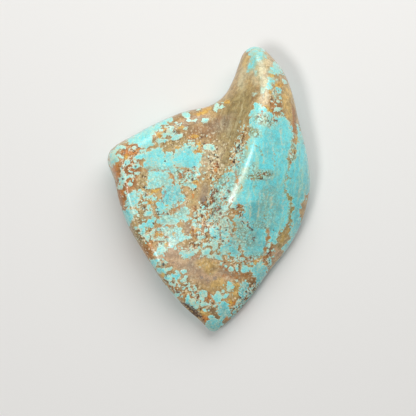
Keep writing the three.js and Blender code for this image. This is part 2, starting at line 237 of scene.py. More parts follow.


# The markings, laid out in the plan that the view shows, in millimetres.
# Islands of turquoise: how rich their blue is, from pale 0 to deep 1, and the points of their outline.
ISLANDS = {
    "tip of the left corner": (0.09, [(-26.8, 8.3), (-26.4, 9.8), (-25.2, 11.1), (-23.9, 11.8), (-22.8, 12),
        (-23.2, 10.9), (-24.6, 10), (-24.7, 8.9), (-24.3, 7.6), (-25.2, 7), (-25.7, 5.9), (-26.4, 6.9)]),
    "upper left edge": (0.27, [(-22.5, 12.9), (-20, 14.8), (-17, 16.4), (-13.5, 18.1), (-10, 19.5),
        (-9.9, 18.4), (-11.4, 17.4), (-12.6, 17.1), (-13, 16), (-14.2, 15.2), (-14.9, 14.3), (-15, 13),
        (-15.4, 11.9), (-16.9, 11), (-18.4, 11.6), (-19.9, 12)]),
    "left field": (0.33, [(-17.2, 8), (-16.7, 10), (-15.2, 10.6), (-13.4, 11.2), (-12.3, 10.4),
        (-11.9, 9.2), (-10.9, 9.9), (-9.7, 9.4), (-9.6, 7.6), (-9.2, 6), (-8, 5.6), (-6.8, 5.4),
        (-6.2, 4.4), (-7.4, 3.3), (-8.6, 2.9), (-9.3, 3.6), (-10.3, 4.5), (-11, 4.4), (-10.6, 3.4),
        (-10.1, 2.4), (-10.3, 1.4), (-11.8, 0.4), (-14.4, 0.1), (-16.9, 0.1), (-16.4, 1.4), (-15.9, 2),
        (-16.2, 2.8), (-16.5, 3.8), (-16.2, 4.9), (-17.3, 5.6)]),
    "blue lobe": (0.42, [(-9.1, 10.2), (-7.8, 11), (-6.4, 11.7), (-5, 11.4), (-3.9, 11.7), (-3, 11.2),
        (-4.1, 10.2), (-2.9, 9.8), (-2, 8.9), (-2.5, 7.8), (-2.3, 6.3), (-3.1, 5.7), (-4.4, 5.8),
        (-5.6, 5.1), (-6.9, 5.6), (-8.2, 6), (-9.2, 6.6), (-9.5, 8.4)]),
    "lobe under the blue one": (0.3, [(-4.9, 5), (-3.4, 5.1), (-2.4, 4.7), (-2.9, 3.7), (-4, 4.1),
        (-3.9, 3.1), (-4.8, 2.8), (-6.1, 3.8), (-5.7, 4.6)]),
    "small lobe": (0.24, [(-8.3, 2.4), (-7.3, 3.1), (-6.3, 3.2), (-6.4, 2.3), (-7.5, 1.7)]),
    "round lobe": (0.3, [(-6.8, 1.5), (-6, 2.1), (-5, 1.9), (-4.1, 1.3), (-3.8, 0.5), (-4.6, 0.1),
        (-5.8, 0.4)]),
    "deep lobe": (0.78, [(-11.2, 0.9), (-9.4, 1.5), (-7.7, 1.2), (-7.5, -0.2), (-6.9, -1.2), (-6.9, -2.5),
        (-8, -3.3), (-9.4, -3.6), (-10.4, -4.3), (-11.8, -4), (-13.2, -3.3), (-12.7, -1.8), (-12.4, -0.4)]),
    "tail of the deep lobe": (0.36, [(-14, -3.5), (-12.7, -3.6), (-11.4, -4.2), (-9.9, -4.2), (-8.6, -3.6),
        (-8.6, -4.3), (-9.9, -5), (-11, -5.3), (-12.2, -6.2), (-13.6, -7), (-14, -5.2)]),
    "left island": (0.45, [(-21.9, -1.5), (-20.8, -0.7), (-19.6, -0.4), (-17.7, -0.6), (-18.2, -1.4),
        (-19.1, -1.8), (-18.9, -3.2), (-19.6, -4.4), (-20.6, -5), (-21.7, -5), (-22.4, -3.8),
        (-21.6, -2.8)]),
    "left rim": (0.42, [(-23.4, -5.8), (-21.5, -5.4), (-19.4, -5), (-19.6, -6.3), (-20.4, -7.6), (-21, -9),
        (-22.2, -9.2), (-23.1, -7.6)]),
    "middle left": (0.36, [(-19.8, -10), (-18.2, -9.5), (-17.3, -8.8), (-16.2, -8.2), (-15.1, -8.3),
        (-14.9, -9.3), (-15.2, -10.2), (-16.8, -10.3), (-18.4, -10.7), (-19.7, -10.7)]),
    "middle": (0.3, [(-13.9, -8.7), (-13, -7.6), (-11.6, -6.9), (-10.2, -6.7), (-9.4, -6.2), (-8.4, -5.5),
        (-7.2, -4.9), (-5.8, -4.8), (-5, -5.6), (-5.5, -6.6), (-6.3, -6.9), (-5.5, -7.6), (-5.7, -8.4),
        (-6.8, -8.6), (-7.8, -8), (-8.6, -8.9), (-9.8, -9.3), (-11.6, -9.3), (-13.1, -9.2)]),
    "lower middle": (0.3, [(-14.4, -10.3), (-12.6, -9.9), (-11.3, -10.2), (-9.9, -9.8), (-8.4, -9.9),
        (-7.3, -10.3), (-7, -11.8), (-7, -13.3), (-8, -14.2), (-9, -14.9), (-10.2, -15.5), (-10.9, -14.6),
        (-10.4, -13.4), (-11.4, -12.4), (-12.4, -11.4), (-13.8, -11.2)]),
    "lower left lobe": (0.27, [(-14.5, -17.2), (-13.8, -16.2), (-13.2, -15.3), (-12.2, -15), (-11.3, -15.5),
        (-11, -16.4), (-12.2, -16.9), (-13.4, -16.9)]),
    "lower left rim": (0.36, [(-16, -19.2), (-14.8, -18.5), (-13.7, -18.6), (-13.4, -19.6), (-14.1, -20.2),
        (-13.7, -20.9), (-14.6, -21.2), (-15.7, -20.5)]),
    "low lobe": (0.4, [(-10, -23.2), (-9.1, -22), (-8.3, -21.8), (-7.5, -22.6), (-7.9, -23.3),
        (-8.8, -23.7)]),
    "pale cluster": (0.15, [(-8.1, -16.7), (-7.2, -15.9), (-6.3, -16.6), (-5.4, -15.9), (-3.6, -15.5),
        (-2.6, -15.1), (-2.2, -15.9), (-2.8, -16.9), (-4, -17.3), (-5.2, -17.8), (-6.4, -18.6),
        (-7.6, -18.3), (-7.2, -17.4)]),
    "above the point": (0.85, [(1.9, -32.6), (2.2, -31.2), (3.2, -30.4), (4.2, -29.8), (5, -30.5),
        (5.6, -31.6), (6.2, -33), (5.4, -34.4), (4.4, -33.6), (3.9, -34.8), (3.2, -34.4), (2.4, -33.6)]),
    # Past 1, the point and the lower right rim are pushed towards the darkest blue: partly their deep
    # turquoise, partly painted shade on that turned-away rim.
    "point": (1.1, [(-2, -36.2), (-0.6, -35.3), (0.2, -34.4), (1, -33.9), (1.8, -34.4), (2.8, -35),
        (3.8, -35.5), (3.4, -36.4), (2, -37.8), (1, -38.8), (0, -38.2)]),
    "lower right rim": (1.15, [(8.4, -26), (8.8, -25), (9.6, -24.4), (10.2, -25.2), (10.9, -26.4),
        (11.7, -26.8), (12.8, -27.6), (9.8, -31.4), (6.8, -34.8), (5.4, -34.9), (6.8, -32.4), (8.2, -30.4),
        (9.2, -29.2), (8.6, -28.6), (8.3, -27.4)]),
    "right rim": (0.75, [(10.6, -21.2), (11.4, -20.3), (12.4, -19.7), (13.6, -19.9), (14.9, -20.2),
        (15.3, -20.9), (15.2, -22.3), (14.4, -23.8), (13.6, -25.4), (12.6, -25.8), (12.4, -24), (11.6, -23),
        (11, -22.2)]),
    "low right lobe": (0.3, [(4.5, -25), (5.2, -24.9), (6, -25.3), (6.5, -26.2), (5.8, -26.9), (5.4, -27.9),
        (4.9, -27.3), (4.7, -26.2)]),
    "lower nodules": (0.6, [(3.5, -15.3), (3.7, -14.4), (4.6, -13.8), (5.6, -13), (6.6, -13), (6.9, -14.2),
        (7.6, -15.2), (7.6, -16.6), (7.3, -18.2), (7.6, -19.2), (6.7, -19.3), (6, -18.4), (5.4, -17.2),
        (4.6, -16.4)]),
    "foot of the crest": (0.3, [(0.4, -10.4), (1.4, -9.4), (2.4, -8.6), (3, -7.4), (4.4, -7), (5, -8),
        (4.6, -9.6), (3.2, -9.9), (2.8, -11.2), (3, -12.8), (2.2, -13.6), (0.8, -13.4), (0.1, -12)]),
    "flank": (0.55, [(0.9, 0.2), (1.6, 1.9), (3, 3.2), (4.6, 4.2), (6.2, 5.3), (7.4, 7.4), (8, 9.4),
        (9.4, 11.6), (10.6, 12.6), (10.4, 9), (9.4, 6), (8.4, 3), (7.4, 0.2), (6.4, -2.4), (5.2, -5),
        (4.4, -6.8), (2.8, -5.4), (1.8, -3.6), (3, -1.6), (2.4, -0.2)]),
    "right panel": (0.46, [(12.1, 23.1), (13.4, 22.9), (14.8, 22.3), (15.4, 21.1), (16.8, 20.3), (17.2, 19),
        (17.9, 18.8), (18.4, 19.6), (19.6, 19.6), (20.8, 19.1), (21.6, 17.6), (22, 16.2), (22.2, 14.6),
        (22.1, 12.6), (22, 10.8), (21.2, 9.8), (21, 8), (21.2, 6.4), (21, 4.9), (20.8, 3.4), (20.3, 2.4),
        (20.3, 0.8), (20.7, -0.6), (21.1, -2.2), (21.8, -3.6), (21.7, -5.2), (21.4, -7), (21.1, -8.4),
        (20, -9.6), (19.4, -10.6), (18.9, -11.6), (18.2, -13), (17.8, -14.6), (16.6, -14), (16.2, -12.6),
        (15.7, -11.4), (15.4, -10.8), (15.2, -11.4), (15.2, -13), (15.1, -15), (14.2, -16.6), (13.6, -17.8),
        (12.4, -18.6), (11, -18.8), (10.2, -18), (9.2, -17.9), (8.7, -16.8), (8.7, -15.4), (8, -14.2),
        (7, -12.6), (6.7, -11.4), (6.9, -9.8), (6.7, -8.4), (7.4, -7.4), (8.6, -6.6), (9.6, -5.6),
        (8.6, -4.4), (6.6, -4.6), (5.4, -5.6), (5.8, -3.4), (6.4, -1), (7.4, 1.6), (8.2, 4), (8.8, 6.6),
        (9.4, 9.2), (9.8, 12), (10.4, 13.6), (10.6, 15), (10.8, 16.6), (11, 18), (10.8, 19.4), (11, 21),
        (11.8, 21.8)]),
    "right edge": (0.6, [(23.3, 15.4), (24.2, 15.4), (25.2, 13.4), (25.9, 10.6), (26.6, 8), (27.3, 5),
        (27.5, 2), (27.2, -0.4), (26, -1.2), (25, -2.8), (24.2, -4.6), (24, -6.4), (24.2, -8.2),
        (24.2, -10.2), (23.4, -12.4), (22.2, -14.4), (20.8, -16.2), (19.4, -17.6), (19.9, -15.6),
        (21, -13.6), (21.6, -11.6), (21.9, -9.4), (22, -7.2), (22.3, -5.2), (22.2, -3.2), (22, -2.2),
        (21, -1.4), (20.4, -0.4), (20.2, 1.2), (20.3, 2.8), (20.8, 4.6), (21.2, 6.4), (21.6, 7.2),
        (22.8, 8.6), (23.2, 9.8), (22.8, 11.2), (23.2, 12.8)]),
    "rim of the peak": (0.5, [(9.6, 36.9), (10.2, 38.2), (11.7, 39), (13.4, 38.6), (14.8, 37.4),
        (14.4, 36.6), (13.4, 36.9), (12.6, 36.2), (11.8, 36.9), (10.6, 37.1)]),
    "under the rim of the peak": (0.6, [(10.2, 36.6), (10.9, 35.4), (10.5, 34), (10.3, 32.8), (10.2, 31.6),
        (11.2, 31.4), (11.9, 32.4), (12.5, 33.6), (13.2, 34.5), (14.2, 34.9), (14.8, 35.8), (14.4, 36.8),
        (12.4, 37.4)]),
    "right of the peak": (0.4, [(17.3, 33.9), (18.4, 33.4), (19.6, 31.8), (20, 30.9), (18.8, 30.9),
        (17.4, 30.6), (16.4, 31), (16.8, 32.4)]),
    "below the peak": (0.5, [(15.7, 29.6), (16.5, 30.1), (17.4, 29.4), (17.6, 28.6), (16.9, 27.9),
        (17, 27.2), (16.2, 26.6), (15.4, 26.4), (15.2, 28)]),
    "end of the peak's turquoise": (0.5, [(17, 26.5), (18, 27.1), (19, 26.6), (18.5, 25.5), (17.8, 24.7),
        (17.1, 24.8), (17.3, 25.6)]),
}

# Single nodules: x, y, half length, half width, turn in degrees, richness.
NODULES = [
    (-18.4, 8.9, 1.7, 0.8, 10, 0.5), (-21.9, 7.4, 1.2, 0.8, 40, 0.3), (-19.6, 6.3, 0.9, 0.7, 40, 0.3),
    (-23.2, 2.4, 1.1, 1, 0, 0.3), (-23.9, 0.5, 0.8, 0.6, 0, 0.2), (-23, 4.3, 0.6, 0.7, 0, 0.1),
    (-21.3, 1.3, 0.7, 0.5, 20, 0.2), (-19.3, 4.4, 0.9, 0.4, 0, 0.2), (-22.9, 11, 0.8, 0.5, 20, 0),
    (-24.1, 9.2, 0.5, 0.4, 0, 0), (-10.5, 16.3, 1, 0.8, 30, 0.1), (-11.9, 14.4, 0.9, 0.5, 30, 0.3),
    (-13, 13.2, 0.7, 0.4, 30, 0.2), (-8.6, 13.9, 1.8, 0.7, 25, 0.3), (-6.5, 16.4, 0.8, 0.4, 20, 0.1),
    (-6.2, 19.8, 1.5, 0.9, -40, 0.3), (-5.6, 18.4, 0.7, 0.5, 0, 0.1), (-4.2, 18.4, 0.9, 0.4, 20, 0.1),
    (-1.1, 18.5, 0.9, 0.7, 20, 0.2), (-0.2, 11.3, 1.5, 1, -10, 0.1), (0.8, 10.8, 0.5, 0.6, 0, 0.1),
    (1.7, 22, 1.2, 0.7, 60, 0), (3.2, 22.2, 0.6, 0.4, 40, 0), (-2.8, 21.5, 0.8, 0.3, 20, 0.1),
    (-16, -6.4, 1, 0.7, 20, 0.2), (-17.9, -11.4, 0.9, 0.6, 50, 0.3), (-16.6, -12.9, 0.7, 0.9, 0, 0.2),
    (-15.2, -11.8, 0.8, 0.7, 0, 0.3), (-6.2, -13, 0.9, 0.4, 10, 0.1), (-13.4, -13.4, 1.5, 0.5, 0, 0.2),
    (-12.9, -14.4, 0.8, 0.5, 0, 0.2), (-12.8, -21.9, 1.5, 0.8, -10, 0.4), (-10.6, -21.3, 1.1, 0.5, 30, 0.3),
    (-7, -21.9, 0.8, 0.7, 0, 0.3), (-6.4, -23.4, 0.8, 0.5, 40, 0.2), (-7.1, -24.2, 0.7, 0.5, 20, 0.3),
    (-11, -23.8, 1.4, 0.7, -15, 0.3), (-9.8, -25.4, 1.1, 0.5, -20, 0.3), (-7.1, -26.3, 0.6, 0.7, 0, 0.4),
    (-8.7, -27.9, 0.9, 0.8, 40, 0.2), (-5.3, -26.7, 0.5, 0.5, 0, 0.4), (-4, -26.7, 0.8, 0.6, 0, 0),
    (-4.5, -27.8, 0.4, 0.5, 0, 0.3), (-1.6, -27.8, 1.3, 1.1, -20, 0.25), (-2, -29.2, 0.8, 0.8, 0, 0.3),
    (-5.9, -29.4, 0.6, 1.4, -10, 0.8), (-4.4, -30.4, 1.7, 1.3, -30, 0.1), (-1.6, -30.6, 1.1, 0.7, 0, 0.15),
    (2.1, -28.9, 1.3, 1.3, 0, 0.35), (2.2, -27.3, 0.5, 0.5, 0, 0.4), (0.5, -28.3, 0.5, 0.5, 0, 0.4),
    (-1.6, -17.4, 1, 0.6, 30, 0.1), (-0.6, -16.6, 0.9, 0.6, 20, 0.1), (2.3, -18.1, 0.9, 0.7, 0, 0.7),
    (1.2, -14.4, 1.1, 0.9, 0, 0.15), (-0.4, -14.6, 0.6, 0.5, 0, 0.1), (-2, -12.8, 1, 0.7, 20, 0.3),
    (-1, -11, 0.7, 0.4, 50, 0.3), (-3.2, -14, 0.8, 0.4, 20, 0.1), (0.8, -17.8, 0.7, 0.5, 20, 0),
    (5.7, -21.2, 0.8, 0.7, 0, 0.3), (7.4, -21, 0.6, 1, 10, 0.5), (9.3, -21.4, 1, 1.1, 0, 0.4),
    (7.2, -24.2, 0.4, 0.4, 0, 0.2), (8.8, -18.6, 0.7, 0.6, 0, 0.4), (8, -29.9, 0.6, 1, -40, 0.6),
    (7.2, -31.4, 0.7, 1, -40, 0.6), (4.1, -28.6, 0.7, 0.7, 0, 0.2), (0, -33.9, 0.5, 0.4, 0, 0.2),
    (2.6, -3, 1, 1.4, 20, 0.7), (4.2, -11.8, 1, 0.6, 50, 0.5), (4, -12.9, 0.7, 0.6, 0, 0.5),
    (5.6, -10.4, 0.4, 0.6, 0, 0.4), (11.7, 34.3, 0.6, 2.5, -13, 0.5), (18.1, 21.4, 0.8, 0.7, 0, 0.1),
    (14.1, 35.3, 0.6, 0.8, 0, 0.7), (16, 31.4, 0.6, 0.5, 0, 0.1), (13, 35, 0.3, 1, 0, 0),
    (12.1, 25.4, 0.2, 0.5, -30, 0), (12.3, 31.2, 0.35, 0.6, 0, 0.3), (20, 28.8, 0.6, 0.7, 30, 0.1),
    (14.2, 26.4, 0.8, 0.8, 0, 0), (18.2, 23.6, 0.4, 0.3, 0, 0), (23.6, 16.4, 0.4, 1.2, 10, 0.4),
    (20.4, -15.4, 0.6, 1.4, -40, 0.5), (16.1, -19.2, 0.5, 1.1, 20, 0.4), (15.6, -16.4, 0.5, 0.9, 0, 0.2),
    (22.2, 8.8, 0.9, 0.9, 0, 0), (-20, 11.2, 0.8, 0.5, 20, 0.2), (-17.3, -5.2, 0.5, 0.4, 0, 0),
]

# Ground where small nodules are scattered: x, y, half length, half width, turn, how thickly.
SCATTERED = [
    (-22.2, 3.2, 4, 1.8, 80, -0.2), (-20, 9.5, 3, 1.6, 10, -0.12), (-11.5, 15.4, 3.8, 1.5, 25, -0.06),
    (-16.4, -2.4, 2.4, 1.9, 20, -0.04), (-7, 3.4, 3.2, 2.2, -20, 0), (-17, -6.3, 2.2, 1.6, 0, -0.12),
    (-16.6, -12, 2.2, 1.6, 0, -0.08), (-2.4, -9, 2.3, 4.6, -15, -0.2), (2.4, -5, 2.6, 4.4, -10, 0.22),
    (3.2, -11.8, 3, 4.8, -10, 0.34), (6.2, -14.8, 3, 3.4, 0, 0.04), (1, -16.6, 3.4, 1.6, 0, -0.12),
    (-6.2, -27.2, 4.2, 1.7, -28, -0.16), (-1.6, -30.6, 3, 1.1, 0, -0.1), (6.4, -19.8, 3, 1.6, 0, -0.22),
    (4, -27.2, 1.7, 1.6, 0, -0.34), (15.6, -15.2, 1.1, 4.2, 0, -0.02), (14.6, 19, 3.2, 1.8, -10, 0.05),
    (17.6, 23.6, 1, 1.2, 0, -0.34), (22.2, 8.4, 1.1, 1.6, 0, 0), (-10.5, -6, 3.6, 1, 25, 0.02),
    (-11, -13, 3.4, 2.6, 0, 0), (-3.5, 11.5, 3.5, 0.9, 0, -0.14), (12.6, -19, 3, 0.8, 0, 0),
    (-13.5, -19.5, 1.6, 1.4, 0, -0.1), (7.2, 8, 1.2, 5, -20, -0.05), (1.5, 0.4, 1.2, 2.6, -20, 0),
]

# Ground where islands break up into nodules: x, y, half length, half width, turn, how far.
BROKEN = [
    (14.4, 18.6, 3.4, 2, -10, 0.75), (11.4, 15.6, 1.4, 2.4, -10, 0.6), (-7, 3.2, 3.4, 2.4, -20, 0.7),
    (-11, -12.2, 4.2, 3.2, 0, 0.65), (-7.4, -6.4, 3.6, 2.2, 20, 0.6), (3, 0.8, 2.4, 4.6, -25, 0.8),
    (8.4, 9, 1.4, 5, -20, 0.7), (2.8, -5.4, 2.6, 3.6, -10, 0.85), (6, -16, 3.4, 3.6, 0, 0.6),
    (8.6, -9, 2.4, 1.8, -20, 0.6), (-5.6, -16.8, 3.4, 1.8, 20, 0.7), (-17, 12.4, 2.6, 1.4, 25, 0.55),
    # The rows at 9.7, -26.8 and 9, -30 break up the lower right rim's turquoise into more brown matrix,
    # partly as painted shade on that rim.
    (13.5, 3.4, 3.4, 1.8, 10, 0.35), (3.6, -32.2, 2.4, 2.4, 0, 0.4), (9.7, -26.8, 1.6, 2.4, 20, 0.65),
    (9, -30, 2.4, 5.4, -38, 1), (5.4, -26.2, 1.2, 1.8, 0, 0.7), (17, -12.6, 1.6, 2.6, 0, 0.6),
    (12.4, -17.4, 2.2, 1.4, 0, 0.5), (-16.6, -9.8, 3.4, 1.2, 0, 0.3), (22.2, 8.6, 1.4, 1.8, 0, 0.8),
    (0.8, -36, 2.6, 1.6, 0, 0.4),
]

# Colours as a screen shows them: those of the ground and the marks, then from the webs on those
# that the material lays over them.
PALETTE = {
    "tan": (187, 156, 104), "sand": (182, 158, 104), "mint": (160, 178, 142), "ochre": (210, 174, 98),
    # Umber serves only the point and the lower right rim, where it is partly painted shade.
    "khaki": (155, 138, 90), "umber and shade": (96, 72, 48), "mauve": (160, 140, 114), "pink": (199, 166, 134),
    "brown": (142, 101, 58), "rust": (176, 110, 46), "orange": (206, 130, 50), "cream": (226, 218, 184),
    "peach": (216, 200, 158), "pale green": (204, 204, 162), "beige": (198, 182, 142), "dark": (62, 38, 22),
    "olive": (158, 148, 88), "grey": (128, 122, 118), "red brown": (120, 62, 24), "web": (206, 200, 158),
    "round the veins": (200, 234, 208), "vein": (118, 104, 54), "frost": (204, 240, 228),
    "streak": (180, 216, 186), "clouding": (176, 204, 166), "veil": (166, 184, 142),
    "pale fibre": (202, 188, 146), "dark fibre": (128, 104, 62), "rind": (132, 88, 46),
    "pale fleck": (238, 228, 194), "dark fleck": (100, 64, 34),
}

# The ground colour of the matrix: x, y, half length, half width, turn, colour, strength.
# Later rows lie over earlier ones.
MATRIX = [
    (-10, 17.5, 12, 3, 25, "brown", 0.45), (-9, 12.6, 7, 2.4, 10, "sand", 0.9),
    (-22, 4, 7.5, 3.6, 80, "rust", 0.9), (-21.5, 10.3, 3.5, 1.4, 10, "rust", 0.85),
    (-23.2, -3, 4, 1.5, -70, "rust", 0.8), (-18, 2.8, 3.6, 2.2, 90, "sand", 0.95),
    (-18.6, -6.5, 3.4, 1.6, 80, "khaki", 0.7), (-19, -12.4, 3.4, 1.4, -60, "khaki", 0.75),
    (-16.4, -16.2, 3, 1.6, -60, "rust", 0.7), (-15.4, -2.2, 3, 2, 10, "sand", 0.85),
    (6.8, 19.5, 10, 4.2, 65, "khaki", 0.9), (3.4, 17.4, 4.5, 2.6, 40, "mauve", 0.7),
    (-2.4, 15.4, 4.6, 2.6, 10, "brown", 0.75), (2.2, 18.6, 1.8, 1, 60, "brown", 0.6),
    (-4.4, 13.8, 1.8, 1.2, 0, "rust", 0.6), (1.4, 14.2, 1.4, 1, 0, "brown", 0.5),
    (1, 8.2, 5, 4.6, 60, "beige", 0.85), (4.6, 8, 5, 1.4, 70, "khaki", 0.65),
    (-1.8, -1.6, 3.4, 1.4, 90, "mauve", 0.85), (-5.2, -2.2, 2.6, 1.6, 80, "sand", 0.8),
    (-4.6, -7, 3.6, 1.4, 70, "tan", 0.5), (-8, -16.6, 6.5, 2.4, -12, "pink", 0.85),
    (-10.4, -19, 4, 1.8, -20, "pink", 0.75), (-3.2, -10.8, 2.4, 3.8, 0, "rust", 0.45),
    (-5.6, -9.6, 1, 3, 10, "mauve", 0.7), (0.4, -22.2, 8.4, 3.9, -8, "pink", 0.8),
    (-4.4, -20.4, 3.2, 2.2, 30, "mauve", 0.6), (-0.2, -20.6, 3.4, 2, -20, "ochre", 0.8),
    (3.6, -22, 3.4, 1.2, -10, "mauve", 0.6), (2.6, -25.2, 2.6, 1.6, 0, "ochre", 0.7),
    (7, -26.6, 1.7, 2.8, -10, "ochre", 0.85), (11.2, -23.6, 3.4, 1.4, -40, "brown", 0.6),
    # The umber rows darken the point and the lower right rim: partly their dark matrix, partly painted shade.
    (8.4, -22.8, 3, 1.2, 0, "brown", 0.45), (2, -34.4, 5.4, 3.4, 0, "umber and shade", 0.6),
    (9.8, -28.4, 5.8, 2.4, 48, "umber and shade", 0.8), (0.4, -29.4, 2, 1.2, -30, "rust", 0.8),
    (-2.2, -32.8, 2.8, 1.2, -40, "ochre", 0.9), (-1.2, -34.6, 1.4, 0.8, -45, "rust", 0.9),
    (-9.4, -27, 3.2, 1.2, -50, "rust", 0.5), (-9.7, 8.2, 2.4, 0.8, 90, "khaki", 0.9),
    (21.2, -4, 6, 1.4, 95, "olive", 0.9), (8.6, 29.8, 3.4, 0.9, 75, "mint", 0.55),
    (12, 34, 3.2, 1.5, 80, "mint", 0.7), (19.6, -12.4, 4.8, 1.5, 60, "khaki", 0.8),
    (17.2, -17, 2.6, 1.6, 45, "pink", 0.8), (20, -12.4, 2, 0.8, 65, "ochre", 0.6),
    (25.6, -5, 5.6, 1, 78, "tan", 0.95), (21, 23.5, 5.4, 1.9, 96, "ochre", 1),
    (22.6, 20, 4.2, 0.9, 98, "brown", 0.7), (17.6, 23, 2.6, 1.3, -60, "rust", 0.5),
    # The pale green and peach rows along the crest of the peak are partly its cream matrix, partly painted
    # sheen.
    (14.2, 29.6, 5.4, 1.6, 96, "pale green", 0.7), (14.3, 24.6, 2.2, 1.7, 90, "peach", 0.7),
    (15.6, 33.8, 2.4, 1.7, -40, "peach", 0.7), (12.2, 30.4, 3, 1, 80, "beige", 0.8),
    (9.6, 31.2, 5, 1.7, 72, "beige", 0.75), (9.6, 34.4, 2, 0.7, 75, "ochre", 0.8),
    (10.8, 37, 1.2, 0.9, 0, "grey", 0.4), (11.4, 24.4, 3.2, 0.9, 80, "brown", 0.6),
    (16.8, 22.2, 2.4, 1.2, -55, "rust", 0.6), (22.8, 15.4, 2.6, 0.7, 95, "rust", 0.7),
    (0.8, -2.6, 1.2, 2.2, -20, "rust", 0.6), (15.6, -16.4, 1.4, 3.8, 0, "rust", 0.6),
    (9.8, -18.9, 3.2, 0.8, -10, "rust", 0.6), (4.4, -9.8, 4.4, 1.6, -70, "rust", 0.35),
    (8.6, -5.6, 1, 1.6, -20, "tan", 0.7), (-13, -12, 2.2, 0.9, -30, "orange", 0.6),
    (-16, -13.8, 1.4, 0.7, 60, "orange", 0.6), (-2.6, 10.9, 1.8, 1, 10, "rust", 0.5),
    (-3.8, 1.6, 0.9, 0.6, -20, "rust", 0.4),
]

# Lines through the stone, by colour: half width, and the points that they pass.
LINES = {
    "rust": [(0.3, [(22.3, 21.5), (22.5, 19.5), (22.4, 17.4), (22.9, 15.8), (22.8, 14.4)]),
        (0.2, [(-20.8, 5.2), (-18.4, 5.1), (-15, 5.2), (-12.9, 5), (-11.2, 5.2)]),
        (0.28, [(-24.6, 9.8), (-23.6, 10.2), (-22, 10.4), (-20.4, 9.8), (-18.8, 11)]),
        (0.22, [(-10.9, 4.8), (-10.1, 3.8), (-9.6, 2.4), (-9.9, 1.4)]),
        (0.18, [(-8.4, 2.8), (-7.4, 3.6), (-6.8, 4.6), (-6.4, 5.4)]),
        (0.22, [(-9.6, -4.4), (-8.6, -3.7), (-7.4, -3.2)]),
        (0.25, [(-9.4, -5.6), (-8, -4.8), (-6.4, -4.3)]),
        (0.2, [(-13.6, -7.4), (-12.2, -6.6), (-10.6, -5.8), (-9.4, -5.4)]),
        (0.22, [(-13.4, -9.9), (-11.9, -9.7), (-10.2, -9.6), (-9, -9.5)]),
        (0.22, [(-12.6, -2.9), (-12.3, -1.6), (-11.8, -0.6)]),
        (0.24, [(-4.3, -4.4), (-4.1, -5.6), (-4.4, -6.6)]),
        (0.24, [(15.5, -10.2), (15.8, -11.8), (15.2, -13.6)]),
        (0.24, [(15.2, -13.8), (15.1, -15.6), (14.6, -17.4), (14.2, -19.2)]),
        (0.22, [(8.2, -16.8), (9, -18), (10.2, -18.9), (11.6, -19.2)]),
        (0.24, [(5, -8.2), (5.4, -9.4), (5.7, -10.6), (5.8, -12.4)]),
        (0.2, [(3, -10.2), (2.9, -11.8), (3.2, -13.4)]), (0.18, [(7.3, 1.8), (7, 3.4), (7.3, 5.4)]),
        (0.18, [(2.6, -20.2), (5, -21.6), (7.6, -22.4), (10.4, -23), (12.4, -24.2)]),
        (0.14, [(3.6, -23), (6, -23.2), (8.6, -23.7)]),
        (0.14, [(-5.6, -18.9), (-4.4, -18), (-2.6, -17.6), (-0.6, -17.8)]),
        (0.2, [(-4.4, -4.2), (-3.9, -5.4), (-4.3, -6.8)])],
    "olive": [(0.1, [(21.3, 8.8), (21.3, 6.8), (20.9, 5), (20.3, 3.2), (19.9, 1.6), (20.2, -0.4)]),
        (0.24, [(20.2, -0.4), (20.9, -2.2), (21.7, -3.6), (21.6, -5.4), (21.3, -7), (21.5, -8.6)]),
        (0.2, [(22.2, 13.6), (22.3, 12), (22.4, 10.2)]), (0.1, [(12.4, 11.8), (13.6, 10.4), (13.9, 8.6)]),
        (0.2, [(11, 16.4), (12.2, 15.6), (13.6, 15.2)]), (0.18, [(15, -6.2), (14.9, -7.6)]),
        (0.1, [(17.2, 10.2), (17.3, 8.2), (17.2, 6.6)]), (0.12, [(20.4, 2.9), (21.2, 3.1), (21.9, 2.9)]),
        (0.22, [(21, -1.6), (21.8, -2.4), (22.4, -2)]), (0.24, [(12, 0.8), (12.4, 1.6)]),
        (0.14, [(10.8, 3.6), (12.2, 2.8), (13.4, 3.4), (14.4, 2.6)]),
        (0.14, [(13.2, 5.2), (14.4, 4.6), (15.6, 4.9), (16.6, 4.6)])],
    "cream": [(0.26, [(16.2, 16.6), (16.4, 13.8), (16.8, 11.6), (17.2, 9.6), (17, 7.4)]),
        (0.26, [(18.9, 16.4), (19.1, 13.6), (19.5, 11.8), (19.3, 9.8), (18.8, 8)]),
        (0.22, [(15.2, 12.6), (14.9, 9.8), (14.5, 7.2)]),
        (0.24, [(13.4, -0.6), (13.3, -2.8), (13.2, -4.8), (13, -6.8)]),
        (0.26, [(10.8, -0.4), (11, -2.6), (10.7, -4.8), (11, -6.8)]),
        (0.2, [(16.4, -0.8), (16.6, -2.8), (16.4, -5.2)]), (0.18, [(19.4, -1), (19.6, -3.6), (19.4, -6.2)]),
        (0.18, [(26, 8.6), (26.3, 6), (26.4, 4)]), (0.16, [(24.2, 1), (23.9, -0.8)]),
        (0.22, [(14.8, -1.4), (14.7, -3.6)])],
}

